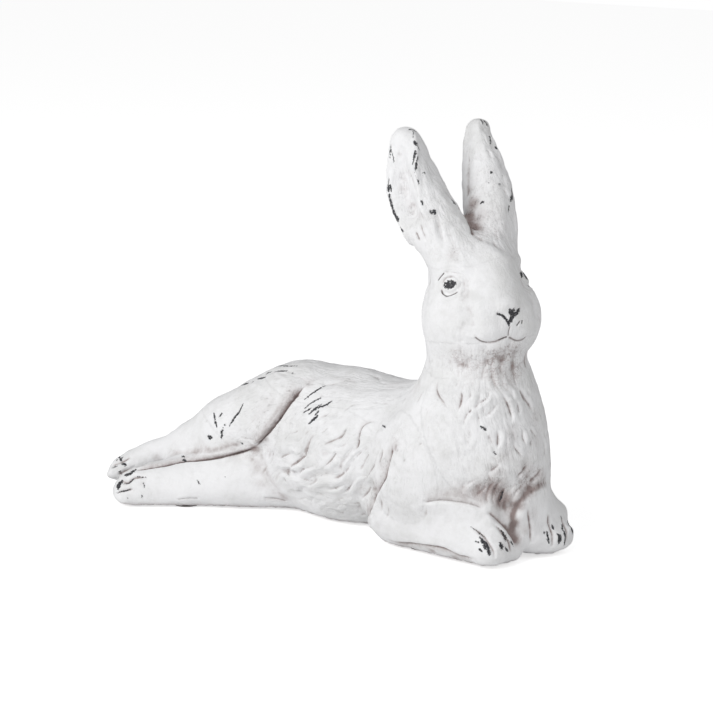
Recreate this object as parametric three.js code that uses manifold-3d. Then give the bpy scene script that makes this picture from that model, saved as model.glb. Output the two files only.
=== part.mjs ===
// A reclining rabbit, cast in sections and bonded over steel dowels, on four felt pads.
// Millimetres, +Z up, +X ahead of the breast, +Y to the rabbit's left. The body rolls onto
// its left hip, and both hind legs stretch out behind it on its right side.
import * as THREE from "three";
import { mergeVertices } from "three/addons/utils/BufferGeometryUtils.js";
import Module from "manifold-3d";

const wasm = await Module();
wasm.setup();

// Fits
const jointGap = 0.3;          // glue line between two bonded castings
const dowelClearance = 0.3;    // round a dowel, and past each of its ends
const padThickness = 1.2;
const padDiameter = 24;
const padGlue = 0.3;
const neckDowel = { diameter: 14, length: 64 };
const legDowel = { diameter: 10, length: 46 };
const earDowel = { diameter: 7, length: 36 };
const tailPeg = { diameter: 9, length: 14 };

// Trunk
const backHeight = 122;        // floor to the top of the back
const trunkWidth = 116;
const trunkRun = 208;          // shoulders to rump
const rumpSwing = 42;          // how far the rump lies to the left of the shoulders
const bellyReach = 21;         // how far the belly bulges to the right of the breast's centre line
const breastWidth = 100;
const breastDepth = 100;
const breastHeight = 136;
const neckWidth = 80;
const neckHeight = 156;        // floor to the joint under the head

// Head
const headRise = 45;           // neck joint to the middle of the skull
const headTurn = 30;           // degrees, to the rabbit's right
const skullLength = 92;
const skullWidth = 60;
const skullHeight = 74;
const cheekSpan = 92;          // across both cheeks
const muzzleReach = 37;        // middle of the skull to the tip of the nose
const eyeSpan = 63;            // across both eyeballs
const earLength = 107;
const earWidth = 47;
const earThickness = 44;
const earLean = { right: 32, left: 29 };   // degrees, backwards
const earSplay = 6;            // degrees, outwards
const earTwist = 18;           // degrees that each opening turns towards the face
const earRoots = { right: -21, left: 17 };   // to the left of the middle of the head
const earBow = 5;              // how far the middle of each ear bends outwards

// Legs
const shoulderWidth = 124;
const elbowWidth = 60;
const wristWidth = 48;
const forepawWidth = 42;
const forelegLength = 84;      // elbow to the middle of the right forepaw
const farForelegLength = 87;   // the left one reaches further ahead
const thighWidth = 64;
const hockWidth = 26;
const hindpawWidth = 27;
const upperReach = 346;        // breast to the toes of the right hind leg
const lowerReach = 310;        // breast to the toes of the left hind leg
const lowerLegWidth = 51;
const tailLength = 38;
const footprint = 5;           // how much of each mass the flat underside takes off
const toeCount = 4;

// Finish
const chalkWhite = { color: 0xe6e3de, roughness: 0.9, metalness: 0 };
const dowelSteel = { color: 0x9b9da0, roughness: 0.35, metalness: 1 };
const greyFelt = { color: 0x6f6a64, roughness: 1, metalness: 0 };

const underside = padThickness + padGlue;
const radians = THREE.MathUtils.degToRad;
const vector = (p) => new THREE.Vector3(...p);
const sides = { right: -1, left: 1 };
const mirrored = (make) => Object.values(sides).map(make);

// Clay: a mass is a function of a point that is below zero inside, about a distance in mm

function turned(at, degrees) {
  const turn = new THREE.Euler(...degrees.map(radians), "ZYX");
  return new THREE.Matrix4().compose(vector(at), new THREE.Quaternion().setFromEuler(turn), vector([1, 1, 1]));
}

// A mass that is modelled in its own frame and then set down in another
function placed(frame, mass) {
  const m = frame.clone().invert().elements;
  return (x, y, z) => mass(
    m[0] * x + m[4] * y + m[8] * z + m[12],
    m[1] * x + m[5] * y + m[9] * z + m[13],
    m[2] * x + m[6] * y + m[10] * z + m[14],
  );
}

function ellipsoid(at, [rx, ry, rz], degrees = [0, 0, 0]) {
  return placed(turned(at, degrees), (x, y, z) => {
    const reach = Math.hypot(x / rx, y / ry, z / rz);
    const slope = Math.hypot(x / rx / rx, y / ry / ry, z / rz / rz);
    return slope < 1e-9 ? -Math.min(rx, ry, rz) : (reach * (reach - 1)) / slope;
  });
}

// A limb through stations [x, y, z, radius], on a smooth spine
function limb(stations, stepsEach = 4) {
  const curve = new THREE.CatmullRomCurve3(stations.map((s) => vector(s.slice(0, 3))), false, "centripetal");
  const steps = (stations.length - 1) * stepsEach;
  const spine = [];
  for (let i = 0; i <= steps; i++) {
    const from = Math.min(Math.floor(i / stepsEach), stations.length - 2);
    const share = THREE.MathUtils.smoothstep(i / stepsEach - from, 0, 1);
    const radius = THREE.MathUtils.lerp(stations[from][3], stations[from + 1][3], share);
    spine.push([...curve.getPoint(i / steps).toArray(), radius]);
  }
  return (x, y, z) => {
    let nearest = Infinity;
    for (let i = 0; i < steps; i++) {
      const [ax, ay, az, ar] = spine[i];
      const dx = spine[i + 1][0] - ax;
      const dy = spine[i + 1][1] - ay;
      const dz = spine[i + 1][2] - az;
      const along = ((x - ax) * dx + (y - ay) * dy + (z - az) * dz) / (dx * dx + dy * dy + dz * dz);
      const t = Math.min(1, Math.max(0, along));
      const skinAt = ar + t * (spine[i + 1][3] - ar);
      nearest = Math.min(nearest, Math.hypot(x - ax - t * dx, y - ay - t * dy, z - az - t * dz) - skinAt);
    }
    return nearest;
  };
}

// Masses pressed together, with a fillet of the size given
const press = (fillet, ...masses) => (x, y, z) => {
  let depth = masses[0](x, y, z);
  for (let i = 1; i < masses.length; i++) {
    const other = masses[i](x, y, z);
    const blend = Math.max(fillet - Math.abs(depth - other), 0) / fillet;
    depth = Math.min(depth, other) - (blend * blend * fillet) / 4;
  }
  return depth;
};

const scoop = (fillet, mass, tool) => (x, y, z) => {
  const depth = mass(x, y, z);
  const cut = -tool(x, y, z);
  const blend = Math.max(fillet - Math.abs(depth - cut), 0) / fillet;
  return Math.max(depth, cut) + (blend * blend * fillet) / 4;
};

// A fan of toes in front of a paw's middle, which points along +X of the frame given
function toes(frame, width) {
  const spacing = width / toeCount;
  const masses = [];
  for (let i = 0; i < toeCount; i++) {
    const offset = i - (toeCount - 1) / 2;
    const ahead = width * (0.36 - 0.035 * offset * offset);
    masses.push(ellipsoid([ahead, offset * spacing, -0.12 * width], [0.32 * width, 0.68 * spacing, 0.27 * width]));
  }
  return placed(frame, press(1.5, ...masses));
}

// Skull, cheeks and muzzle, in the head's own frame: +X out of the nose, +Y to its left
function headClay() {
  const masses = [
    ellipsoid([-18, -1, 14], [skullLength / 2, skullWidth / 2, skullHeight / 2]),
    ellipsoid([muzzleReach - 26, 0, 0], [27, 20, 23], [0, 15, 0]),
    ellipsoid([muzzleReach - 19, 0, -30], [16, 15, 11]),
    ellipsoid([-14, 0, -22], [34, 33, 32]),
  ];
  const cheeks = mirrored((side) => ellipsoid([-5, side * (cheekSpan / 2 - 26), -15], [36, 26, 32]));
  const lips = mirrored((side) => ellipsoid([muzzleReach - 20, side * 11, -17], [19, 16, 14]));
  const brows = mirrored((side) => ellipsoid([-6, side * (skullWidth / 2 - 10), 23], [15, 8, 8]));
  const eyes = mirrored((side) => ellipsoid([1, side * (eyeSpan / 2 - 6), 15], [8, 6, 6]));
  return press(2, press(14, ...masses, ...cheeks, ...lips, ...brows), ...eyes);
}

// One ear in its own frame: +Z from root to tip, +Y out of the opening, +X to the front rim
function earClay() {
  const shape = [[2, -0.18, 0.8], [0, 0.05, 0.92], [-4, 0.31, 1], [-5, 0.54, 0.94], [-4, 0.72, 0.78], [-1, 0.87, 0.58]];
  const hollow = [[-3, 0.13, 0.34], [-6, 0.34, 0.67], [-7, 0.56, 0.63], [-4, 0.75, 0.46], [-1, 0.9, 0.25]];
  const half = earWidth / 2;
  const bow = (along) => earBow * Math.max(0, 4 * along * (1 - along));
  const leaf = limb(shape.map(([x, along, wide]) => [x, bow(along), along * earLength, wide * half]));
  const bowl = limb(hollow.map(([x, along, wide]) => [
    x, half * (1.2 - 0.7 * along * along) + bow(along), along * earLength, wide * half,
  ]));
  const flattened = earThickness / earWidth;
  return scoop(5, (x, y, z) => leaf(x, y / flattened, z), bowl);
}

const headFrame = turned([2, -2, neckHeight + headRise], [0, 0, -headTurn]);

function earFrame(side) {
  const name = side === sides.right ? "right" : "left";
  const root = turned([-19, earRoots[name], skullHeight / 2], [-side * earSplay, -earLean[name], 0]);
  return headFrame.clone().multiply(root);
}

// Both ears are one shape and its mirror image
function earOn(side) {
  const leaf = placed(turned([0, 0, 0], [0, 0, -earTwist]), earClay());
  return placed(earFrame(side), (x, y, z) => leaf(x, side * y, z));
}

function trunkClay() {
  const half = trunkWidth / 2;
  const spine = [
    [0, 1.08, 0.86], [0.29, 1, 0.93], [0.6, 1, 1], [0.84, 0.93, 0.86], [1, 0.77, 0.72],
  ].map(([along, rise, girth]) => {
    const radius = girth * half;
    return [-18 - along * trunkRun, 3 + along * along * 0.35 * rumpSwing + along * 0.65 * rumpSwing, rise * backHeight - radius, radius];
  });
  return press(16,
    limb(spine),
    ellipsoid([2, 0, breastHeight - 56], [breastDepth / 2, breastWidth / 2, 56]),
    ellipsoid([-2, 1, 48], [breastDepth / 2 + 4, breastWidth / 2, 46]),
    ellipsoid([-136, 36 - bellyReach, 38], [64, 36, 46]),
    limb([[-8, -2, neckHeight + 20, 0.43 * neckWidth], [-5, -1, neckHeight - 11, neckWidth / 2], [-6, 0, 115, 0.6 * neckWidth]]),
    ...mirrored((side) => ellipsoid([-33, side * (shoulderWidth / 2 - 26), 72], [40, 26, 48], [0, 20, 0])),
  );
}

// Elbow, forearm, wrist and paw, all resting on the floor
const forelegs = {
  right: { elbow: [-60, -18], heading: -8, length: forelegLength, pawHeading: -14, girth: 1 },
  left: { elbow: [-46, 34], heading: -9, length: farForelegLength, pawHeading: -28, girth: 1.15 },
};

function forelegPoint({ elbow, heading, length }, share, height) {
  const ahead = share * length;
  return [elbow[0] + ahead * Math.cos(radians(heading)), elbow[1] + ahead * Math.sin(radians(heading)), height];
}

function forelegClay(leg) {
  const station = (share, width) => [...forelegPoint(leg, share, underside - footprint + width / 2), width / 2];
  const paw = turned(forelegPoint(leg, 1, underside - footprint + forepawWidth / 2), [0, 0, leg.pawHeading]);
  return press(3,
    limb([
      station(0, leg.girth * elbowWidth),
      station(0.5, (leg.girth * (elbowWidth + wristWidth)) / 2),
      station(0.82, leg.girth * wristWidth),
      station(0.97, forepawWidth),
    ]),
    toes(paw, forepawWidth),
  );
}

// The right hind leg lies on top: haunch, shank and foot
function upperLegClay() {
  const half = thighWidth / 2;
  const reach = (share) => -share * upperReach;
  return press(10,
    ellipsoid([reach(0.553), 12, 87], [50, half + 2, half + 1], [0, -36, 10]),
    press(2,
      limb([
        [reach(0.6), 13, 77, half], [reach(0.69), 4, 66, 0.86 * half], [reach(0.785), -3, 49, 0.6 * half],
        [reach(0.87), -4, 37, hockWidth / 2], [reach(0.94), -14, 26, hockWidth / 2], [reach(0.97), -22, 18, hindpawWidth / 2],
      ]),
      toes(turned([reach(0.97), -24, 17], [0, -14, 208]), hindpawWidth),
    ),
  );
}

// The left one lies under it, flat on the floor, and carries the hip that the body rests on
function lowerLegClay() {
  const half = lowerLegWidth / 2;
  const station = (share, y, girth) => [-share * lowerReach, y, underside - footprint + girth * half, girth * half];
  const paw = turned([-0.975 * lowerReach, -52, underside - footprint + 0.7 * half], [0, 0, 212]);
  return press(2,
    press(12,
      ellipsoid([-0.61 * lowerReach, 54, 36], [56, 42, 40]),
      limb([
        station(0.58, 23, 1.18), station(0.73, -5, 1), station(0.855, -25, 0.84),
        station(0.93, -42, 0.77), station(0.97, -50, 0.72),
      ]),
    ),
    toes(paw, 1.25 * hindpawWidth),
  );
}

const tailRoot = [-246, 56, 44];
const tailAxis = vector([-0.84, 0.48, -0.24]).normalize();

function tailClay() {
  const middle = vector(tailRoot).addScaledVector(tailAxis, 9).toArray();
  return ellipsoid(middle, [0.42 * tailLength, 0.36 * tailLength, tailLength / 2], [0, -20, 0]);
}

const bodyMass = press(7, trunkClay(), upperLegClay(), lowerLegClay(), tailClay(),
  ...Object.values(forelegs).map(forelegClay));
const headMass = press(8, placed(headFrame, headClay()), press(2, ...mirrored(earOn)));
const clay = press(8, bodyMass, headMass);

// Where the surface would cross one face of a cell twice, the outer corner nearest to it is filled
function fillCorners(depth, strides, filled) {
  const squares = [[0, 1], [0, 2], [1, 2]].map(([u, v]) => [0, strides[u], strides[u] + strides[v], strides[v]]);
  let changed = true;
  while (changed) {
    changed = false;
    for (let at = 0; at < depth.length - strides[1] - strides[2]; at++) {
      for (const square of squares) {
        const corners = square.map((step) => at + step);
        const [a, b, c, d] = corners.map((corner) => depth[corner] < 0);
        if (a !== c || b !== d || a === b) continue;
        const [p, q] = a ? [corners[1], corners[3]] : [corners[0], corners[2]];
        depth[depth[p] < depth[q] ? p : q] = filled;
        changed = true;
      }
    }
  }
}

// The closed skin of a mass inside a box: one point in each cell that the surface crosses
function skin(mass, low, high, cell) {
  const count = low.map((l, axis) => Math.ceil((high[axis] - l) / cell) + 3);
  const start = low.map((l) => l - cell);
  const index = (i, j, k) => i + count[0] * (j + count[1] * k);
  const middle = low.map((l, axis) => (l + high[axis]) / 2);
  const half = low.map((l, axis) => (high[axis] - l) / 2);
  const depth = new Float32Array(count[0] * count[1] * count[2]);
  for (let k = 0; k < count[2]; k++) {
    for (let j = 0; j < count[1]; j++) {
      for (let i = 0; i < count[0]; i++) {
        const p = [start[0] + i * cell, start[1] + j * cell, start[2] + k * cell];
        const wall = Math.max(...p.map((value, axis) => Math.abs(value - middle[axis]) - half[axis]));
        depth[index(i, j, k)] = wall > cell ? wall : Math.max(wall, mass(...p));
      }
    }
  }
  fillCorners(depth, [1, count[0], count[0] * count[1]], -0.05 * cell);
  const points = [];
  const pointOf = new Int32Array(depth.length).fill(-1);
  for (let k = 0; k < count[2] - 1; k++) {
    for (let j = 0; j < count[1] - 1; j++) {
      for (let i = 0; i < count[0] - 1; i++) {
        const sum = [0, 0, 0];
        let crossings = 0;
        for (let corner = 0; corner < 8; corner++) {
          for (let axis = 0; axis < 3; axis++) {
            if (corner & (1 << axis)) continue;
            const far = corner | (1 << axis);
            const a = depth[index(i + (corner & 1), j + ((corner >> 1) & 1), k + (corner >> 2))];
            const b = depth[index(i + (far & 1), j + ((far >> 1) & 1), k + (far >> 2))];
            if (a < 0 === b < 0) continue;
            const at = [corner & 1, (corner >> 1) & 1, corner >> 2];
            at[axis] = a / (a - b);
            for (let c = 0; c < 3; c++) sum[c] += at[c];
            crossings++;
          }
        }
        if (!crossings) continue;
        pointOf[index(i, j, k)] = points.length / 3;
        points.push(...sum.map((s, axis) => start[axis] + ([i, j, k][axis] + s / crossings) * cell));
      }
    }
  }
  const triangles = [];
  const quad = (a, b, c, d, inward) => {
    const [p, q, r, s] = [a, b, c, d].map((cell3) => pointOf[index(...cell3)]);
    triangles.push(...(inward ? [p, r, q, p, s, r] : [p, q, r, p, r, s]));
  };
  for (let k = 1; k < count[2] - 1; k++) {
    for (let j = 1; j < count[1] - 1; j++) {
      for (let i = 1; i < count[0] - 1; i++) {
        const inside = depth[index(i, j, k)] < 0;
        if (inside !== depth[index(i + 1, j, k)] < 0) {
          quad([i, j - 1, k - 1], [i, j, k - 1], [i, j, k], [i, j - 1, k], !inside);
        }
        if (inside !== depth[index(i, j + 1, k)] < 0) {
          quad([i - 1, j, k - 1], [i - 1, j, k], [i, j, k], [i, j, k - 1], !inside);
        }
        if (inside !== depth[index(i, j, k + 1)] < 0) {
          quad([i - 1, j - 1, k], [i, j - 1, k], [i, j, k], [i - 1, j, k], !inside);
        }
      }
    }
  }
  return new wasm.Manifold(new wasm.Mesh({
    numProp: 3,
    vertProperties: new Float32Array(points),
    triVerts: new Uint32Array(triangles),
  }));
}

function solid(geometry) {
  const bare = new THREE.BufferGeometry();
  bare.setAttribute("position", geometry.getAttribute("position"));
  bare.setIndex(geometry.getIndex());
  const shape = mergeVertices(bare, 1e-4);
  return new wasm.Manifold(new wasm.Mesh({
    numProp: 3,
    vertProperties: new Float32Array(shape.getAttribute("position").array),
    triVerts: new Uint32Array(shape.getIndex().array),
  }));
}

function geometryOf(body) {
  const mesh = body.getMesh();
  const geometry = new THREE.BufferGeometry();
  geometry.setAttribute("position", new THREE.BufferAttribute(new Float32Array(mesh.vertProperties), 3));
  geometry.setIndex(new THREE.BufferAttribute(new Uint32Array(mesh.triVerts), 1));
  return geometry;
}

// Everything on the side of a plane that its normal points to
const blockSize = 1200;
function beyond(point, normal, shift = 0) {
  const out = vector(normal).normalize();
  const block = new THREE.BoxGeometry(blockSize, blockSize, blockSize);
  block.translate(0, 0, blockSize / 2 + shift);
  block.applyQuaternion(new THREE.Quaternion().setFromUnitVectors(new THREE.Vector3(0, 0, 1), out));
  block.translate(...point);
  return solid(block);
}

// A section of the casting is what lies inside all of its joint planes
const section = (planes, shift = 0) => planes
  .map(([point, normal]) => beyond(point, normal, shift))
  .reduce((a, b) => a.intersect(b));

function rod(middle, axis, diameter, length) {
  const rodShape = new THREE.CylinderGeometry(diameter / 2, diameter / 2, length, 20);
  rodShape.applyQuaternion(new THREE.Quaternion().setFromUnitVectors(new THREE.Vector3(0, 1, 0), axis.clone().normalize()));
  rodShape.translate(...middle);
  return rodShape;
}

const inFrame = (frame, point) => vector(point).applyMatrix4(frame).toArray();
const alongFrame = (frame, direction) => vector(direction).transformDirection(frame).toArray();

// Joint planes: under the head, across each ear's root, over the forearms, down the haunch crease,
// between the hind legs, along the belly's edge, and at the root of the tail
const neckJoint = [[0, 0, neckHeight], [0, 0, 1]];
const earJointRise = 16;
const faceMiddle = (side) => [inFrame(headFrame, [0, 0, 0]), alongFrame(headFrame, [0, side, 0])];
const earJoint = (side) => [inFrame(earFrame(side), [0, 0, earJointRise]), alongFrame(earFrame(side), [0, 0, 1])];
const forearmTop = [[0, 0, 52], [0, 0, -1]];
const haunchCrease = [[-200, 0, 55], [-1, 0, 1]];
const legParting = [[-200, -14, 58], [-0.42, 0.4, 1]];
const bellyEdge = [[-166, 0, 0], [-0.826, 0, -0.563]];
const flipped = ([point, normal]) => [point, normal.map((n) => -n)];

const sections = {
  ear_right: [earJoint(sides.right), faceMiddle(sides.right)],
  ear_left: [earJoint(sides.left), faceMiddle(sides.left)],
  foreleg_right: [forearmTop, [[-93, 0, 0], [1, 0, 0]], [[-60, 5, 0], [-0.107, -0.994, 0]]],
  foreleg_left: [forearmTop, [[-80, 0, 0], [1, 0, 0]], [[-48, 7, 0], [0.083, 0.997, 0]]],
  hind_leg_right: [haunchCrease, legParting],
  hind_leg_left: [bellyEdge, flipped(legParting)],
  tail: [[tailRoot, tailAxis.toArray()], [[0, 35, 0], [0, 1, 0]]],
};

// Box round each casting's clay, and the size of the cells that its skin is drawn with
const ranges = {
  trunk: { low: [-275, -75, underside - 4], high: [75, 105, neckHeight + 4], cell: 10.4 },
  head: { low: [-75, -70, neckHeight - 6], high: [65, 65, 262], cell: 6.8 },
  ear_right: { low: [-130, -75, 220], high: [20, 15, 350], cell: 5.6 },
  ear_left: { low: [-110, -30, 220], high: [40, 80, 350], cell: 5.6 },
  foreleg_right: { low: [-100, -70, -4], high: [55, 12, 58], cell: 7.3 },
  foreleg_left: { low: [-88, -8, -4], high: [85, 80, 58], cell: 7.3 },
  hind_leg_right: { low: [-370, -50, -4], high: [-110, 105, 130], cell: 9 },
  hind_leg_left: { low: [-345, -85, -4], high: [-130, 100, 85], cell: 8.4 },
  tail: { low: [-285, 30, 10], high: [-225, 95, 75], cell: 7 },
};

const floorLevel = [[0, 0, underside], [0, 0, 1]];
const roughCast = (name) => {
  const { low, high, cell } = ranges[name];
  return skin(clay, low, high, cell).intersect(beyond(...floorLevel));
};

// Dowels: where each stands, along what, and the two castings that it ties together
function earDowelSpot(side) {
  const frame = earFrame(side);
  return { middle: inFrame(frame, [0, -4, earJointRise]), axis: vector(alongFrame(frame, [0, 0, 1])), size: earDowel };
}

const upright = new THREE.Vector3(0, 0, 1);
const dowels = {
  neck_dowel: { middle: [-6, -1, neckHeight], axis: upright, size: neckDowel, ties: ["trunk", "head"] },
  ear_dowel_right: { ...earDowelSpot(sides.right), ties: ["head", "ear_right"] },
  ear_dowel_left: { ...earDowelSpot(sides.left), ties: ["head", "ear_left"] },
  foreleg_dowel_right: { middle: [-50, -20, 52], axis: upright, size: legDowel, ties: ["trunk", "foreleg_right"] },
  foreleg_dowel_left: { middle: [-36, 30, 52], axis: upright, size: legDowel, ties: ["trunk", "foreleg_left"] },
  hind_dowel_right: { middle: [-176, 30, 79], axis: vector([-1, 0, 1]), size: legDowel, ties: ["trunk", "hind_leg_right"] },
  hind_dowel_left: { middle: [-183, 26, 25], axis: vector([-0.826, 0, -0.1]), size: legDowel, ties: ["trunk", "hind_leg_left"] },
};

function socket({ middle, axis, size }) {
  return solid(rod(middle, axis, size.diameter + 2 * dowelClearance, size.length + 2 * dowelClearance));
}

const castings = {};
for (const [name, planes] of Object.entries(sections)) {
  castings[name] = roughCast(name).intersect(section(planes));
}
castings.hind_leg_left = castings.hind_leg_left.subtract(section(sections.hind_leg_right, -jointGap));
castings.head = roughCast("head").intersect(beyond(...neckJoint, jointGap));
for (const ear of ["ear_right", "ear_left"]) {
  castings.head = castings.head.subtract(section(sections[ear], -jointGap));
}
castings.trunk = roughCast("trunk").intersect(beyond(...flipped(neckJoint)));
for (const leg of ["foreleg_right", "foreleg_left", "hind_leg_right", "hind_leg_left"]) {
  castings.trunk = castings.trunk.subtract(section(sections[leg], -jointGap));
}
for (const name of ["trunk", "hind_leg_right", "hind_leg_left"]) {
  castings[name] = castings[name].subtract(section(sections.tail, -jointGap));
}
for (const dowel of Object.values(dowels)) {
  for (const name of dowel.ties) castings[name] = castings[name].subtract(socket(dowel));
}

// The tail has its own peg, which enters the rump
const pegMiddle = vector(tailRoot).addScaledVector(tailAxis, -tailPeg.length / 2 + 2).toArray();
castings.hind_leg_right = castings.hind_leg_right.subtract(
  socket({ middle: pegMiddle, axis: tailAxis, size: { diameter: tailPeg.diameter, length: tailPeg.length } }),
);
castings.tail = castings.tail.add(solid(rod(pegMiddle, tailAxis, tailPeg.diameter, tailPeg.length)));

const pads = {
  felt_pad_breast_right: [-40, -20],
  felt_pad_breast_left: [-14, 34],
  felt_pad_foot: [-268, -27],
  felt_pad_hip: [-192, 58],
};

// The scene graph stands on the floor, centred on the origin
const figure = new THREE.Group();
function addPiece(name, geometry, finish) {
  geometry.computeVertexNormals();
  const piece = new THREE.Mesh(geometry, new THREE.MeshStandardMaterial(finish));
  piece.name = name;
  figure.add(piece);
}

// Crumbs that a joint plane shaves off a casting are left out
const largestOf = (body) => body.decompose().reduce((a, b) => (a.volume() > b.volume() ? a : b));

for (const [name, body] of Object.entries(castings)) addPiece(name, geometryOf(largestOf(body)), chalkWhite);
for (const [name, { middle, axis, size }] of Object.entries(dowels)) {
  addPiece(name, rod(middle, axis, size.diameter, size.length), dowelSteel);
}
for (const [name, [x, y]] of Object.entries(pads)) {
  const pad = new THREE.CylinderGeometry(padDiameter / 2, padDiameter / 2, padThickness, 24);
  pad.rotateX(Math.PI / 2);
  pad.translate(x, y, padThickness / 2);
  addPiece(name, pad, greyFelt);
}

const extent = new THREE.Box3().setFromObject(figure);
const middle = extent.getCenter(new THREE.Vector3());
figure.position.set(-middle.x, -middle.y, -extent.min.z);

export default figure;
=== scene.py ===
import math
import random

import bpy
import numpy as np
from mathutils import Matrix, Vector
from mathutils.bvhtree import BVHTree
from mathutils.kdtree import KDTree


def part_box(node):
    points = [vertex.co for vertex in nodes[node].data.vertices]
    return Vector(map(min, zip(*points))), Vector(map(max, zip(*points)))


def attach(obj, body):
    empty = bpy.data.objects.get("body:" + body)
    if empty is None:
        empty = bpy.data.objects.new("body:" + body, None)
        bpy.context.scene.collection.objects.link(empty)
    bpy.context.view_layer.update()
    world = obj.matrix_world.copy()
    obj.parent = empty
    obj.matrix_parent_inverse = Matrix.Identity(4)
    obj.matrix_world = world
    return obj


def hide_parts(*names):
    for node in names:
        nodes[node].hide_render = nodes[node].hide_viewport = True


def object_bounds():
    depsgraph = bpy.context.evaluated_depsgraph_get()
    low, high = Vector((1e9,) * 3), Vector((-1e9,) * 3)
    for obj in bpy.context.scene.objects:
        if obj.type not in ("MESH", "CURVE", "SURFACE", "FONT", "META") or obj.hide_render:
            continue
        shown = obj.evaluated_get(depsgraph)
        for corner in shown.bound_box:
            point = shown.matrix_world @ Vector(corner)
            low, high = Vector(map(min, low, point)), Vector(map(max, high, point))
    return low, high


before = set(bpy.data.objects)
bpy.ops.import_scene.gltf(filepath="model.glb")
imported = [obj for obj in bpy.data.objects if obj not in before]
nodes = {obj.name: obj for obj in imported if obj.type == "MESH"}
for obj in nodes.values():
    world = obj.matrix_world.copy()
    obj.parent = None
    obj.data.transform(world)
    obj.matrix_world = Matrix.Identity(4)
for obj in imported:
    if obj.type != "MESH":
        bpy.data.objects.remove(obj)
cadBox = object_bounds()

mm = 0.001

# Places are in the figure's own frame, in mm: the floor is z = 0, and the breast stands over the origin
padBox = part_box("felt_pad_breast_right")
padPlace = Vector((-40, -20, 0.6))
origin = (Vector(padBox[0]) + Vector(padBox[1])) / 2 - padPlace * mm


def spot(x, y, z):
    return origin + Vector((x, y, z)) * mm


# Camera

shot = {
    "azimuth": 33,          # degrees round from the figure's right side, towards its front
    "elevation": 13.5,
    "distance": 2.0,
    "aim": (-119, 3, 139),  # mm
    "pixelAtAim": 0.8,      # mm
    "frameWidth": 713,      # pixels
}

around, above = math.radians(shot["azimuth"]), math.radians(shot["elevation"])
lookRight = Vector((math.cos(around), math.sin(around), 0))
lookBack = Vector((math.sin(around) * math.cos(above), -math.cos(around) * math.cos(above), math.sin(above)))
lookUp = lookBack.cross(lookRight)
eyePoint = spot(*shot["aim"]) + lookBack * shot["distance"]
focalPixels = shot["distance"] / (shot["pixelAtAim"] * mm)

cameraData = bpy.data.cameras.new("camera")
cameraData.sensor_width = 36
cameraData.lens = cameraData.sensor_width * focalPixels / shot["frameWidth"]
cameraData.clip_end = 20
camera = bpy.data.objects.new("camera", cameraData)
bpy.context.scene.collection.objects.link(camera)
camera.matrix_world = Matrix.Translation(eyePoint) @ Matrix((lookRight, lookUp, lookBack)).transposed().to_4x4()
bpy.context.scene.camera = camera
print("camera set")


# Modelling helpers

def only(thing):
    bpy.ops.object.select_all(action="DESELECT")
    thing.select_set(True)
    bpy.context.view_layer.objects.active = thing


def copyOf(source, name):
    twin = source.copy()
    twin.data = source.data.copy()
    twin.name = name
    for key in list(twin.keys()):
        del twin[key]
    twin.parent = None
    bpy.context.scene.collection.objects.link(twin)
    return twin


def editAll(thing, work):
    only(thing)
    bpy.ops.object.mode_set(mode="EDIT")
    bpy.ops.mesh.select_all(action="SELECT")
    work()
    bpy.ops.object.mode_set(mode="OBJECT")


def mergedCopy(source, name):
    twin = copyOf(source, name)
    editAll(twin, lambda: bpy.ops.mesh.remove_doubles(threshold=1e-6))
    return twin


def addModifier(thing, kind, **settings):
    only(thing)
    modifier = thing.modifiers.new(kind.lower(), kind)
    for key, value in settings.items():
        setattr(modifier, key, value)
    bpy.ops.object.modifier_apply(modifier=modifier.name)


def swell(thing, thickness):
    addModifier(thing, "DISPLACE", strength=thickness * mm, mid_level=0)


def melt(thing, cell, softening):
    addModifier(thing, "REMESH", mode="VOXEL", voxel_size=cell * mm)
    addModifier(thing, "SMOOTH", factor=0.5, iterations=softening)


def joinAll(things, name):
    only(things[0])
    for thing in things:
        thing.select_set(True)
    bpy.ops.object.join()
    things[0].name = name
    return things[0]


def lump(matrix, radii):
    bpy.ops.mesh.primitive_uv_sphere_add(segments=40, ring_count=20, radius=1)
    ball = bpy.context.active_object
    ball.data.transform(matrix @ Matrix.Diagonal((*[r * mm for r in radii], 1)))
    return ball


def turn(x, y, z):
    a, b, c = (math.radians(v) for v in (x, y, z))
    return Matrix.Rotation(c, 4, "Z") @ Matrix.Rotation(b, 4, "Y") @ Matrix.Rotation(a, 4, "X")


headFrame = Matrix.Translation(spot(2, -2, 201)) @ turn(0, 0, -30)


def onHead(ahead, left, up):
    return headFrame @ (Vector((ahead, left, up)) * mm)


# Rough figure: the castings and dowels, swollen until their glue lines close, then melted into one lump

rough = {
    "swell": 0.5,  # mm
    "firstCell": 1.9,
    "firstSoftening": 26,
    "cell": 1.35,
    "softening": 4,
}

parts = []
for name in nodes:
    if "pad" not in name:
        parts.append(mergedCopy(nodes[name], "rough " + name))
        swell(parts[-1], rough["swell"])
figure = joinAll(parts, "figure")
melt(figure, rough["firstCell"], rough["firstSoftening"])
print("rough figure", len(figure.data.vertices))

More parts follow.
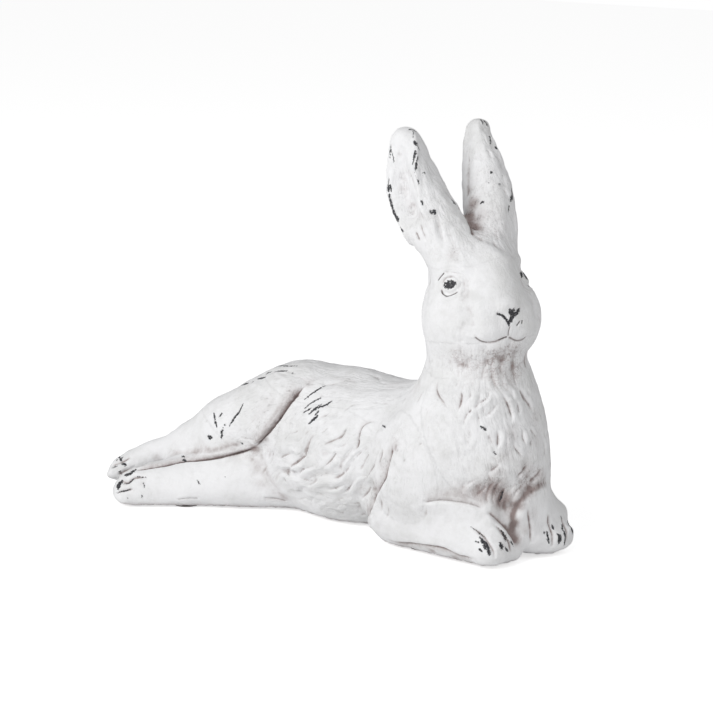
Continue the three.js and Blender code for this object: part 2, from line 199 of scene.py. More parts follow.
# Masses pressed onto it: place on the head (ahead, left, up), radii and turn
masses = {
    "skull": [(-18, -1, 14), (46, 30, 37), (0, 0, 0)],
    "bridge": [(11, 0, 0), (27, 20, 23), (0, 15, 0)],
    "chin": [(17, 0, -31), (15, 14, 10), (0, 0, 0)],
    "lipRight": [(18, -10.5, -17), (18.5, 15, 13.5), (0, 0, 0)],
    "lipLeft": [(18, 10.5, -17), (18.5, 15, 13.5), (0, 0, 0)],
    "cheekRight": [(-5, -19.6, -15), (35.5, 25.6, 31.5), (0, 0, 0)],
    "cheekLeft": [(-5, 19.6, -15), (35.5, 25.6, 31.5), (0, 0, 0)],
    "eyeRight": [(1, -24.5, 15), (9.5, 7, 8), (0, 0, 0)],
    "eyeLeft": [(1, 24.5, 15), (9.5, 7, 8), (0, 0, 0)],
}
lumps = [figure]
for place, radii, turned in masses.values():
    lumps.append(lump(Matrix.Translation(onHead(*place)) @ headFrame.to_3x3().to_4x4() @ turn(*turned), radii))
figure = joinAll(lumps, "figure")
melt(figure, rough["cell"], rough["softening"])
print("masses pressed on", len(figure.data.vertices))


# Sculpting

# the way the camera looks through a pixel of the photograph's frame
def cast(px, py):
    half = shot["frameWidth"] / 2
    return lookRight * (px - half) - lookUp * (py - half) - lookBack * focalPixels


# the pixel at which the camera sees a place
def photoPlace(at):
    off = at - np.array(eyePoint)
    depth = -(off @ np.array(lookBack))
    half = shot["frameWidth"] / 2
    return half + off @ np.array(lookRight) / depth * focalPixels, half - off @ np.array(lookUp) / depth * focalPixels


# smooth random values between -1 and 1, for places given in cells of the pattern
def waves(place, seed):
    cell = np.floor(place).astype(np.int64)
    part = place - cell
    part = part ** 3 * (part * (part * 6 - 15) + 10)
    total = np.zeros(len(place))
    for corner in np.ndindex(2, 2, 2):
        x, y, z = (cell + corner).T
        mixed = (x * 73856093) ^ (y * 19349663) ^ (z * 83492791) ^ (seed * 2654435761)
        mixed = (mixed ^ (mixed >> 13)) * 1274126177 & 0xFFFFFFFF
        value = ((mixed ^ (mixed >> 16)) & 0xFFFF) / 32767.5 - 1
        weight = np.ones(len(place))
        for axis in range(3):
            weight *= part[:, axis] if corner[axis] else 1 - part[:, axis]
        total += value * weight
    return total


def fetched(source, key, width=1, kind=np.float32):
    found = np.empty(len(source) * width, kind)
    source.foreach_get(key, found)
    return found.reshape(-1, width) if width > 1 else found


def treeOf(points):
    tree = KDTree(len(points))
    for i, point in enumerate(points):
        tree.insert(point, i)
    tree.balance()
    return tree


# 1 along a path, down to 0 at its ends
def faded(share, taper):
    return np.clip(np.minimum(share, 1 - share) / taper, 0, 1)


class Clay:
    # stain and painted shade, dark line, distance in mm from bare metal, scribbled lines, how combed, and the place in
    # the combing in mm
    painted = {"wash": 0.0, "ink": 0.0, "chip": 9.0, "scrawl": 0.0, "combed": 0.0,
               "grainAlong": 0.0, "grainAcross": 0.0, "grainThrough": 0.0}

    def __init__(self, thing):
        self.thing = thing
        for name, start in self.painted.items():
            layer = thing.data.attributes.new(name, "FLOAT", "POINT")
            layer.data.foreach_set("value", np.full(len(thing.data.vertices), start, np.float32))
        self.read()

    def read(self):
        mesh = self.thing.data
        self.at = fetched(mesh.vertices, "co", 3).astype(float)
        for name in self.painted:
            setattr(self, name, fetched(mesh.attributes[name].data, "value").astype(float))
        self.refresh()

    # puts the worked shape into the mesh, and takes the normals from it again
    def refresh(self):
        mesh = self.thing.data
        mesh.vertices.foreach_set("co", self.at.astype(np.float32).ravel())
        for name in self.painted:
            mesh.attributes[name].data.foreach_set("value", getattr(self, name).astype(np.float32))
        mesh.update()
        self.normal = fetched(mesh.vertex_normals, "vector", 3).astype(float)
        self.tree = BVHTree.FromObject(self.thing, bpy.context.evaluated_depsgraph_get())

    # finer faces wherever a mark will run
    def refine(self, paths, reach, finest=0.9):
        self.refresh()
        tree = treeOf(np.concatenate(list(paths)))
        mesh = self.thing.data
        centres = fetched(mesh.polygons, "center", 3)
        chosen = np.zeros(len(centres), bool)
        for i in np.flatnonzero(fetched(mesh.polygons, "area") > (finest * mm) ** 2):
            chosen[i] = tree.find(centres[i])[2] < reach * mm
        only(self.thing)
        bpy.context.tool_settings.mesh_select_mode = (False, False, True)
        mesh.vertices.foreach_set("select", np.zeros(len(mesh.vertices), bool))
        mesh.edges.foreach_set("select", np.zeros(len(mesh.edges), bool))
        mesh.polygons.foreach_set("select", chosen)
        bpy.ops.object.mode_set(mode="EDIT")
        bpy.ops.mesh.subdivide(number_cuts=1, ngon=False)
        bpy.ops.object.mode_set(mode="OBJECT")
        self.read()
        print("refined", int(chosen.sum()), "faces")

    # the point of the surface that the camera sees at a pixel of the photograph's frame, or the edge beside it
    def seen(self, px, py):
        ray = cast(px, py).normalized()
        hit = self.tree.ray_cast(eyePoint, ray)[0]
        if hit:
            return hit
        point = eyePoint + ray * shot["distance"]
        for _ in range(8):
            point = eyePoint + ray * ray.dot(self.nearest(point) - eyePoint)
        return self.nearest(point)

    def nearest(self, point):
        return self.tree.find_nearest(point)[0]

    # smooth path over the surface through a few points
    def path(self, points, step=1.2):
        points = [Vector(p) for p in points]
        if len(points) == 1:
            points = points * 2
        ends = [points[0] * 2 - points[1], *points, points[-1] * 2 - points[-2]]
        out = []
        for a, b, c, d in zip(ends, ends[1:], ends[2:], ends[3:]):
            parts = max(1, int((c - b).length / (step * mm)))
            for i in range(parts):
                t = i / parts
                out.append(0.5 * (2 * b + (c - a) * t + (2 * a - 5 * b + 4 * c - d) * t * t
                                  + (3 * b - a - 3 * c + d) * t ** 3))
        out.append(points[-1])
        out = np.array([self.nearest(p) for p in out])
        for _ in range(2):
            out[1:-1] = (out[:-2] + 2 * out[1:-1] + out[2:]) / 4
        return out

    # the vertices near a path and on its side of the clay: distance from it, distance to its left, share of its length
    def along(self, path, reach):
        low, high = path.min(0) - reach * mm, path.max(0) + reach * mm
        near = np.flatnonzero(np.all((self.at > low) & (self.at < high), axis=1))
        at, normal = self.at[near], self.normal[near]
        best = np.full(len(near), 1e9)
        side, share = np.zeros(len(near)), np.zeros(len(near))
        last = len(path) - 1
        for i in range(last):
            a, run = path[i], path[i + 1] - path[i]
            length2 = max(run @ run, 1e-12)
            t = np.clip((at - a) @ run / length2, 0, 1)
            off = at - a - t[:, None] * run
            away = np.linalg.norm(off, axis=1)
            closer = (away < best) & (normal @ np.array(self.tree.find_nearest(Vector(a))[1]) > 0)
            best[closer] = away[closer]
            left = np.cross(normal[closer], run / math.sqrt(length2))
            side[closer] = np.einsum("ij,ij->i", off[closer], left)
            share[closer] = (i + t[closer]) / last
        keep = best < reach * mm
        return near[keep], best[keep] / mm, side[keep] / mm, share[keep]

    # the surface with its smaller forms melted away
    def smoothed(self, rounds):
        count, at = len(self.at), self.at
        edges = fetched(self.thing.data.edges, "vertices", 2, np.int32)
        a, b = edges.T
        degree = np.bincount(edges.ravel(), minlength=count)
        for _ in range(rounds):
            total = [np.bincount(a, at[b, axis], count) + np.bincount(b, at[a, axis], count) for axis in range(3)]
            at = 0.4 * at + 0.6 * (np.array(total) / degree).T
        return at

    # the same about some places alone: pixel and radius of each
    def soften(self, places, rounds, strength=1):
        melted = self.smoothed(rounds)
        for px, py, radius in places:
            away = np.linalg.norm(self.at - np.array(self.seen(px, py)), axis=1) / (radius * mm)
            self.at += strength * np.exp(-away ** 4)[:, None] * (melted - self.at)

    def push(self, which, height):
        self.at[which] += self.normal[which] * (height * mm)[:, None]

    # the brown wash, which stands both for stain and for painted shade
    def paintWashAndShade(self, which, amount):
        self.wash[which] = np.maximum(self.wash[which], amount)

    def mark(self, which, amount):
        self.ink[which] = np.maximum(self.ink[which], amount)

    # pulls the clay about a place of the photograph's frame, by pixels of that frame
    def tug(self, px, py, right, down, radius):
        away = np.linalg.norm(self.at - np.array(self.seen(px, py)), axis=1) / (radius * mm)
        which = np.flatnonzero(away < 2.4)
        pull = (lookRight * right - lookUp * down) * shot["pixelAtAim"] * mm
        self.at[which] += np.exp(-away[which] ** 2)[:, None] * np.array(pull)

    # a soft ridge, or a groove where the height is below zero
    def ridge(self, path, height, width, wash=0.0, ink=0.0, taper=0.3):
        which, away, _, share = self.along(path, width * 2.6)
        fade = faded(share, taper) ** 0.7
        soft = fade * np.exp(-(away / width) ** 2)
        self.push(which, height * soft)
        self.paintWashAndShade(which, wash * soft)
        self.mark(which, ink * fade * np.exp(-(away / 0.6) ** 2))

    # where one form lies over another: what is on the path's left stands proud, rolls over, and ends in a crease
    def fold(self, path, rise, reach, cut, width, ink=0.5, shade=0.6, lean=0.3, taper=0.15):
        which, away, side, share = self.along(path, 3 * max(reach, width))
        fade = faded(share, taper)
        fade = fade * fade * (3 - 2 * fade)
        proud = 1 / (1 + np.exp(-side / (0.35 * width)))
        bulge = np.exp(-away / reach) * (1 - np.exp(-(away / (1.6 * width)) ** 2))
        shape = (proud - 0.3 * (1 - proud)) * rise * bulge - cut * np.exp(-(away / width) ** 2)
        self.push(which, fade * shape)
        # painted shade beside the crease, with the lean's share on the proud side and the rest on the low side
        paintedShade = np.exp(-away / (0.6 * reach)) * (lean * proud + (1 - lean) * (1 - proud))
        self.paintWashAndShade(which, shade * fade * paintedShade)
        self.mark(which, ink * fade * np.exp(-(away / 0.65) ** 2))

    # a soft swelling, a dent, or paint alone, about a pixel of the photograph's frame
    def dab(self, px, py, height, radius, wash=0.0, scrawl=0.0):
        point = self.seen(px, py)
        away = np.linalg.norm(self.at - np.array(point), axis=1) / (radius * mm)
        which = np.flatnonzero(away < 2.2)
        which = which[self.normal[which] @ np.array(self.tree.find_nearest(point)[1]) > 0]
        soft = np.exp(-away[which] ** 2 * 1.5)
        self.push(which, height * soft)
        self.paintWashAndShade(which, wash * soft)
        self.scrawl[which] = np.maximum(self.scrawl[which], scrawl * soft)

    # paint worn through along a path
    def scrape(self, path, width):
        which, away, _, share = self.along(path, width + 4)
        thin = width * (0.5 + 0.5 * faded(share, 0.25)) if len(path) > 2 else width
        self.chip[which] = np.minimum(self.chip[which], away - thin)


clay = Clay(figure)
print("clay", len(clay.at))


# a path through pixels of the photograph's frame, given as x and y in turn
def drawn(pixels):
    return clay.path([clay.seen(*pair) for pair in zip(pixels[::2], pixels[1::2])])


def reflected(point):
    inHead = headFrame.inverted() @ Vector(point)
    return headFrame @ Vector((inHead.x, -inHead.y, inHead.z))


# the same path on the other side of the head
def mirrored(path):
    return clay.path([reflected(p) for p in path[::-1]])


# carves each path, and its mirror image with a share of its height
def carveBothSides(looks, taper, share=1.0):
    for points, height, *look in looks.values():
        path = drawn(points)
        clay.ridge(path, height, *look, taper=taper)
        clay.ridge(mirrored(path), share * height, *look, taper=taper)


# Larger corrections: pixel, pull to the right, pull down, radius in mm
pulls = [
    (490, 130, -5, 1, 8), (496, 146, -5, 0, 9), (505, 164, -4, 0, 9), (514, 215, -5, 0, 10), (515, 238, -6, 0, 12),
    (522, 266, -6, 0, 12), (528, 288, -4, 0, 10), (466, 130, 4, 0, 9), (464, 152, 5, 0, 10), (464, 172, 5, 0, 10),
    (464, 190, 4, 0, 8), (460, 206, 0, -4, 7), (391, 196, -2, 0, 9), (397, 214, -3, 0, 9), (405, 230, -2, 0, 12),
    (421, 132, 0, 2, 8), (404, 128, 0, 3, 8), (426, 150, -3, 0, 10), (438, 172, -4, 1, 10), (448, 190, -3, 1, 8),
    (516, 550, -7, -3, 12), (488, 562, 0, -3, 14), (558, 502, 6, 0, 11), (564, 514, 5, -1, 11), (568, 530, 2, 0, 9),
    (350, 372, 0, -3, 18), (372, 376, 0, -3, 18), (290, 366, 0, 2, 18),
]
for pull in pulls:
    clay.tug(*pull)
clay.refresh()
# under the chin the masses meet too sharply
clay.soften([(470, 357, 18), (492, 353, 18), (512, 350, 16), (444, 352, 14), (524, 350, 10)], 70)
clay.dab(186, 497, 2.5, 13)   # the lower foot reaches down over its pad
clay.dab(561, 497, -1.6, 9)   # wrist of the far paw
clay.refresh()
print("pulls")

# Where limbs lie against the body: path, rise, reach, cut, width, ink, shade, lean
folds = {
    "haunch": [(255, 448, 264, 438, 277, 423, 291, 402, 299, 392, 308, 384), 3.6, 12, 1.5, 1.2, 0.75, 0.9, 0.8],
    "upperLeg": [(129, 471, 141, 469, 161, 466, 185, 461, 215, 458, 243, 452, 260, 446), 2.4, 8, 1.6, 1.1, 0.8, 0.8,
                 0.8],
    "belly": [(260, 446, 262, 458, 266, 474, 274, 489, 289, 502), 2.6, 11, 0.3, 3.0, 0, 0.5, 0.1],
    "shoulder": [(391, 436, 391.5, 452, 388, 468, 384, 481, 376, 496, 371, 510, 371, 526), 3.0, 11, 1.3, 1.5, 0.4,
                 0.7, 0.1],
    "forearm": [(486, 510, 470, 504, 452, 501, 437, 500.5, 421, 503), 1.0, 12, 0.8, 1.6, 0.5, 0.6, 0.05],
    "forearmInner": [(516, 547, 510, 534, 500, 522, 486, 511), 2.8, 9, 1.6, 1.8, 0.4, 0.7, 0.1],
    "farForeleg": [(549, 481, 537, 485, 528, 491, 520, 501, 514, 512, 513, 526, 516, 544), 2.6, 13, 1.6, 2.6, 0.3,
                   0.9, 0.15],
    "foreLedge": [(384, 538, 398, 543, 422, 545, 444, 549, 460, 556, 478, 561), 1.8, 6, 1.6, 1.5, 0.45, 0.8, 0.1],
    "hindLedge": [(262, 498, 274, 498.5, 288, 502), 0.8, 5, 0.8, 1.3, 0.4, 0.7, 0.2],
    "footLedge": [(176, 500, 186, 498.5, 200, 498.5), 0.5, 4, 0.6, 1.1, 0.5, 0.5, 0.3],
}
paths = [drawn(look[0]) for look in folds.values()]
clay.refine(paths, 5)
# the hollows and swellings beside them come first: pixel, height, radius
for place in [(503, 496, -6, 12), (510, 512, -7, 10), (514, 532, -4, 8), (450, 492, -2.5, 15), (478, 494, -3.5, 13),
              (526, 484, -3, 11), (543, 514, 6, 16), (556, 510, 2.5, 12), (530, 530, 3, 12), (268, 455, -1.5, 12),
              (382, 458, -2.2, 15), (254, 478, -1.5, 14)]:
    clay.dab(*place)
clay.refresh()
for points, *look in folds.values():
    clay.fold(drawn(points), *look)
    clay.refresh()
clay.soften([(521, 499, 7), (515, 508, 7), (513, 518, 7), (512, 528, 7), (514, 538, 7), (516, 546, 7), (529, 490, 7)],
            8, 0.85)
clay.refresh()
print("folds", len(clay.at))

# Fur in the mass: furrows that follow a direction and wander, in mm
fur = {
    "chest": {"middle": (14, -4, 104), "size": (62, 64, 66), "flow": (0.2, 0.15, -1), "across": (0.5, -0.85, 0),
              "length": 42, "width": 8.5, "sway": 8, "height": 1.6, "strokes": 90},
    "neck": {"middle": (2, 0, 158), "size": (52, 52, 30), "flow": (0, 0.1, -1), "across": (0.5, -0.85, 0),
             "length": 26, "width": 6.5, "sway": 5, "height": 0.7, "strokes": 20},
    "flankRight": {"middle": (-132, -40, 50), "size": (80, 42, 60), "flow": (-0.78, 0, -0.62),
                   "across": (-0.62, 0, 0.78), "length": 46, "width": 9.5, "sway": 10, "height": 2.2, "strokes": 60},
    "flankLeft": {"middle": (-110, 78, 60), "size": (96, 50, 60), "flow": (-0.8, 0, -0.6), "across": (-0.6, 0, 0.8),
                  "length": 46, "width": 9.5, "sway": 10, "height": 2.0, "strokes": 60},
    "back": {"middle": (-130, 22, 122), "size": (130, 60, 32), "flow": (-1, 0.1, -0.1), "across": (0, 1, 0),
             "length": 60, "width": 7, "sway": 4, "height": 0.6, "strokes": 70},
    "rump": {"middle": (-258, 62, 50), "size": (40, 44, 50), "flow": (-0.4, 0.2, -0.9), "across": (0.3, 0.9, 0),
             "length": 26, "width": 6, "sway": 5, "height": 1.0, "strokes": 40},
    "nape": {"middle": (-50, 12, 190), "size": (44, 50, 70), "flow": (-0.35, 0, -1), "across": (0, 1, 0),
             "length": 36, "width": 7, "sway": 5, "height": 0.8, "strokes": 50},
    "haunch": {"middle": (-212, 24, 84), "size": (66, 60, 50), "flow": (-0.9, 0, -0.4), "across": (-0.4, 0.2, 0.9),
               "length": 50, "width": 10, "sway": 5, "height": 0.35, "strokes": 30},
    "ears": {"middle": (-20, 10, 285), "size": (60, 80, 70), "flow": (-0.2, 0, 1), "across": (0.5, -0.8, 0),
             "length": 34, "width": 5, "sway": 3, "height": 0.5, "strokes": 70},
    "shoulder": {"middle": (-40, -40, 70), "size": (40, 34, 46), "flow": (-0.3, 0, -1), "across": (0.9, 0.3, 0),
                 "length": 34, "width": 9, "sway": 5, "height": 0.3, "strokes": 20},
}


# where points lie in the combing of a patch of fur: along it, across it, through it, and how far inside the patch
def combing(look, at, seed):
    off = (at - np.array(spot(*look["middle"]))) / mm
    flow, across = (np.array(Vector(look[key]).normalized()) for key in ("flow", "across"))
    sway = look["sway"] * waves(off / 22, seed) + 0.35 * look["sway"] * waves(off / 10, seed + 1)
    weight = 1 - np.linalg.norm(off / np.array(look["size"]), axis=1) ** 2
    return off @ flow, off @ across + sway, off @ np.cross(flow, across), weight


def growFur(look, seed):
    along, across, through, weight = combing(look, clay.at, seed)
    which = np.flatnonzero(weight > 0)
    width = look["width"]
    cells = np.stack([along / look["length"], across / width, through / (2.5 * width)], axis=1)[which]
    soft = waves(cells, seed + 2)
    sharp = 0.45 - 1.5 * np.abs(waves(cells * (1, 0.8, 1) + 7, seed + 3))
    fine = waves(cells * (1.3, 2.2, 2.2), seed + 4)
    inside = np.clip(weight[which] * 2, 0, 1)
    clay.push(which, look["height"] * inside * (0.5 * soft + 0.9 * sharp + 0.25 * fine))


# single cuts of the tool along the fur: length, height and width in mm, bend and lean as shares of the length
stroke = {"length": (9, 22), "bend": (-0.25, 0.25), "lean": (-0.35, 0.35), "heights": (-0.6, -0.45, 0.5),
          "width": (1.0, 1.7), "wash": 0.12}


def strokeFur(look, chance):
    middle, flow = np.array(spot(*look["middle"])), Vector(look["flow"]).normalized()
    inside = np.linalg.norm((clay.at - middle) / (np.array(look["size"]) * 0.95 * mm), axis=1) < 1
    for i in chance.sample(list(np.flatnonzero(inside)), look["strokes"]):
        start, aside = Vector(clay.at[i]), Vector(clay.normal[i]).cross(flow).normalized()
        length, bend, lean = (chance.uniform(*stroke[key]) for key in ("length", "bend", "lean"))
        length *= mm
        run = [start, start + (flow + aside * (lean + bend)) * length / 2, start + (flow + aside * lean) * length]
        clay.ridge(clay.path(run), chance.choice(stroke["heights"]), chance.uniform(*stroke["width"]),
                   stroke["wash"], taper=0.35)


chance = random.Random(5)
furSeeds = [11 * number + 3 for number in range(len(fur))]
for look, seed in zip(fur.values(), furSeeds):
    growFur(look, seed)
clay.refresh()
for look in fur.values():
    strokeFur(look, chance)
clay.refresh()
print("fur")

# Locks that stand out, each a crease with a fuller side to the left of its run: path, strength, ink, shade
locks = [
    ((361, 403, 352, 405, 346, 409, 342, 416), 0.7, 0.35, 0.2),
    ((380, 420, 370, 422, 363, 426, 360, 433, 359, 441, 356, 449, 350, 456), 1.3, 0.5, 0.6),
    ((352, 424, 346, 429, 342, 436, 334, 440, 325, 444, 318, 450), 1.1, 0.15, 0.25),
    ((341, 445, 336, 453, 331, 460, 325, 466, 321, 470), 1.2, 0.35, 0.35),
    ((362, 446, 361, 452, 355, 456), 0.6, 0.4, 0.2), ((376, 452, 374, 464, 368, 475, 361, 484), 1.2, 0.25, 0.35),
    ((352, 462, 346, 471, 338, 477, 330, 480), 1.0, 0.2, 0.3), ((372, 484, 367, 493, 360, 500), 0.9, 0.2, 0.35),
    ((318, 452, 306, 455, 297, 462, 290, 467, 292, 472, 299, 472), 1.0, 0.3, 0.3),
    ((294, 453, 286, 455, 280, 459, 281, 465), 0.6, 0.45, 0.35),
    ((320, 464, 310, 467, 302, 470, 297, 477), 0.9, 0.15, 0.2), ((300, 477, 306, 480, 312, 482), 0.5, 0.3, 0.25),
    ((344, 484, 334, 489, 323, 489), 0.8, 0.15, 0.25), ((337, 498, 341, 503, 347, 508), 0.5, 0.3, 0.3),
    ((320, 478, 311, 484, 303, 486), 0.7, 0.15, 0.2), ((355, 477, 350, 487, 342, 494), 0.9, 0.15, 0.25),
    ((330, 425, 324, 431, 318, 434), 0.5, 0.1, 0.1), ((384, 442, 381, 456, 378, 468), 0.8, 0.15, 0.35),
    ((298, 490, 308, 496, 318, 500), 0.5, 0.1, 0.2), ((282, 474, 287, 483, 295, 490), 0.6, 0.1, 0.2),
    ((390, 389, 378, 391, 368, 394), 0.3, 0.35, 0.1), ((410, 391, 405, 399, 401, 408), 0.4, 0.3, 0.2),
    ((437, 376, 436.6, 384, 436.4, 390, 439, 397, 444, 403, 449, 413), 0.9, 0.55, 0.4),
    ((460, 388, 461.5, 398, 459.5, 406, 456, 414), 1.0, 0.15, 0.55), ((424, 389, 420, 396, 415, 405), 0.6, 0.2, 0.35),
    ((470, 386, 470, 396, 465, 404, 459, 415), 0.8, 0.05, 0.15),
    ((487, 384, 489.5, 391, 487, 398, 481, 402, 474, 408, 467, 414, 463, 424, 461, 432), 1.1, 0.15, 0.2),
    ((480, 392, 479, 400, 474, 406), 0.6, 0.1, 0.15), ((497, 400, 494, 408, 489, 413, 482, 418), 0.7, 0.15, 0.2),
    ((500, 394, 506, 401, 510, 410, 512, 418, 511, 425), 1.2, 0.65, 0.4),
    ((517, 385, 523, 397, 530, 406, 535, 416), 0.9, 0.6, 0.3), ((526, 389, 530, 398), 0.5, 0.4, 0.5),
    ((515, 401, 518, 409, 517, 417), 0.7, 0.3, 0.3), ((497, 428, 498.5, 438, 497, 451), 1.1, 0.25, 0.6),
    ((523, 428, 523, 438, 526, 447), 0.8, 0.4, 0.4), ((513, 438, 514, 446, 519, 453, 525, 459), 0.9, 0.4, 0.5),
    ((528, 427, 533, 433, 538, 440), 0.6, 0.3, 0.3), ((528, 463, 524, 470, 519, 475, 516, 481), 1.1, 0.5, 0.6),
    ((542, 464, 539, 473, 533, 479, 526, 485), 0.9, 0.4, 0.4), ((500, 463, 494, 469, 487, 473), 0.8, 0.15, 0.75),
    ((543, 436, 545, 450, 542, 462), 0.7, 0.1, 0.2), ((507, 432, 506, 442, 508, 452), 0.7, 0.1, 0.25),
    ((503, 476, 496, 486, 492, 497, 494, 508), 0.9, 0.5, 0.7),
    ((507, 483, 502, 492, 499, 501, 501, 511), 1.1, 1.0, 0.8),
    ((514, 484, 507, 494, 504, 504, 506, 513), 0.9, 0.6, 0.8),
    ((524, 484, 516, 491, 511, 502, 511, 512), 1.0, 0.7, 0.8), ((488, 488, 486, 498, 489, 506), 0.7, 0.3, 0.6),
    ((478, 478, 468, 484, 459, 494), 0.6, 0.1, 0.5), ((490, 484, 482, 490, 474, 498), 0.5, 0.25, 0.7),
    ((468, 479, 463, 486, 459, 493), 0.4, 0.2, 0.6), ((496, 480, 489, 488, 486, 499), 0.7, 0.5, 0.8),
    ((422, 432, 416, 441), 0.4, 0.2, 0.1), ((424, 441, 418, 446), 0.4, 0.4, 0.1),
    ((408, 457, 401, 464), 0.4, 0.35, 0.1), ((398, 434, 395, 446, 396, 458), 0.5, 0.2, 0.3),
    ((280, 437, 268, 445), 0.3, 0.3, 0.1), ((300, 420, 294, 431), 0.3, 0.25, 0.1),
    ((306, 412, 297, 422), 0.3, 0.25, 0.1),
]
lock = {"rise": 2.0, "reach": 5.5, "cut": 0.9, "width": 1.4, "ink": 0.6, "shade": 1.3, "onChest": 1.4, "elsewhere": 1.1}
clay.refine([drawn(points) for points, *_ in locks], 2.6)
for points, strength, ink, shade in locks:
    bold = lock["onChest"] if points[0] > 420 and points[1] < 470 else lock["elsewhere"]
    clay.fold(drawn(points), lock["rise"] * bold * strength, lock["reach"], lock["cut"] * bold * strength,
              lock["width"], lock["ink"] * ink, min(1, lock["shade"] * shade), lean=0.35, taper=0.4)
clay.refresh()
print("locks", len(clay.at))

# Ears: path, height, width, wash (stain and painted shade), ink. The far ear gets them too, but shallower
ears = {
    "dish": [(403, 146, 400, 164, 401, 186, 407, 206, 416, 228), -6.0, 8.0, 0, 0],
    "rim": [(412, 130, 415, 140, 416, 152, 416, 164, 417, 177, 420, 190, 422, 205, 427, 216, 432, 230, 437, 245), 3.2,
            2.3, 0, 0],
    "flank": [(428, 152, 431, 170, 437, 195, 446, 222), -1.4, 6.0, 0, 0],
    "edge": [(399, 132, 392, 146, 389, 162, 388, 180, 390, 198, 396, 216, 404, 232, 413, 247, 421, 262), 1.8, 2.2, 0,
             0],
    "upperFold": [(392, 148, 396, 161, 402, 174, 409, 189, 414, 206), 2.4, 2.8, 0, 0],
    "upperFurrow": [(394, 166, 399, 179, 405, 192), -1.0, 2.6, 0.15, 0],
    "lowerFurrow": [(404, 162, 410, 176, 416, 192), -1.4, 2.4, 0.15, 0],
    "dimple": [(415, 230, 420, 242), -1.4, 1.7, 0.4, 0],
    "secondDimple": [(420, 223, 426, 240), -1.2, 1.5, 0.3, 0],
    "root": [(437, 214, 441, 232, 446, 250), -0.8, 2.2, 0.05, 0],
    "secondRoot": [(431, 214, 436, 232, 440, 252), 1.3, 2.0, 0, 0],
    "thirdRoot": [(447, 226, 452, 240, 454, 254), -0.8, 2.6, 0.2, 0],
}
paths = [drawn(look[0]) for look in ears.values()]
clay.refine(paths + [mirrored(path) for path in paths], 2.6)
carveBothSides(ears, 0.3, 0.4)
clay.ridge(drawn((487, 134, 493, 148, 501, 163, 505, 182, 506, 205)), -0.6, 2.6, 0.08)
clay.refresh()
# between the ears, and the brow in front of them
clay.fold(drawn((473, 236, 469, 225, 463, 215, 457, 206)), 2.0, 7, 1.4, 1.4, 0.6, 0.7, 0.1, 0.12)
clay.ridge(drawn((516, 263, 506, 258, 497, 253, 489, 249, 480, 246, 470, 246)), 1.3, 4.6, taper=0.4)
clay.ridge(drawn((515, 256, 505, 250, 497, 245, 489, 241, 480, 238, 470, 237)), -0.7, 4.4, 0.12, taper=0.45)
# painted shade: down the far ear's inner edge and over the far ear, where the near ear shades it, and in the hollow
# between the ears
clay.ridge(drawn((468, 160, 469, 176, 469, 190, 466, 202)), 0, 3.6, 0.45)
for px, py, radius, strength in [(462, 209, 7, 1.0), (467, 216, 9, 0.9), (473, 226, 9, 0.7), (472, 205, 11, 0.7),
                                 (480, 216, 13, 0.45), (470, 190, 9, 0.4), (490, 215, 22, 0.25), (484, 232, 12, 0.3),
                                 (488, 180, 26, 0.16), (482, 150, 18, 0.1)]:
    clay.dab(px, py, 0, radius, strength)
clay.refresh()
print("ears", len(clay.at))

# Face. Its marks are read off the side that is seen, and mirrored to the other: path, height, width, wash (stain and
# painted shade), ink
muzzle = {
    "cheekValley": [(463, 298, 469, 310, 471, 324, 468, 336), -2.2, 5.5, 0.1, 0],
    "browRidge": [(436, 276, 443, 267, 454, 264, 464, 270, 468, 281), 1.3, 3.6, 0, 0],
    "socket": [(462, 276, 466, 286, 463, 296), -1.3, 4.0, 0.25, 0],
    "lip": [(478, 332, 488, 335, 500, 332), 0.9, 5.0, 0, 0],
    "nose": [(497, 308, 508, 305, 520, 303), 0.9, 4.0, 0, 0],
    "lowerLip": [(484, 350, 496, 349, 508, 346), 1.4, 4.5, 0, 0],
    "underLip": [(482, 358, 496, 357, 510, 352), -0.6, 4.6, 0.1, 0],
    "jaw": [(430, 352, 442, 359, 458, 362, 474, 362), -0.8, 6.0, 0.1, 0],
}
carveBothSides(muzzle, 0.3)
clay.refresh()
mouth = {
    "corner": [(474.5, 336.5, 478, 340, 483, 342.3, 489, 343), -0.8, 1.2, 0.5, 0.7],
    "middle": [(487, 343, 494, 342.3, 500, 340), -0.8, 1.2, 0.5, 0.3],
    "top": [(498, 341, 503, 338.6, 508, 337), -0.9, 1.2, 0.6, 0.8],
    "philtrum": [(510.5, 326, 509, 331, 508.4, 337), -0.7, 1.1, 0.4, 0.6],
    "far": [(508, 337, 512, 339, 517, 341, 524, 339.5, 528, 336), -0.8, 1.2, 0.5, 0.55],
    "noseNear": [(497, 313, 503, 315, 508, 322, 509, 326), -0.7, 1.2, 0, 0],
    "noseFar": [(519, 308, 515, 314, 511, 320, 509, 326), -0.7, 1.2, 0, 0],
    "whiskerPad": [(516.6, 326, 519, 323, 520.4, 320.6), -0.4, 0.9, 0, 0.9],
    "whiskerPadBack": [(522.6, 320, 522, 324), -0.4, 0.9, 0, 0.9],
}
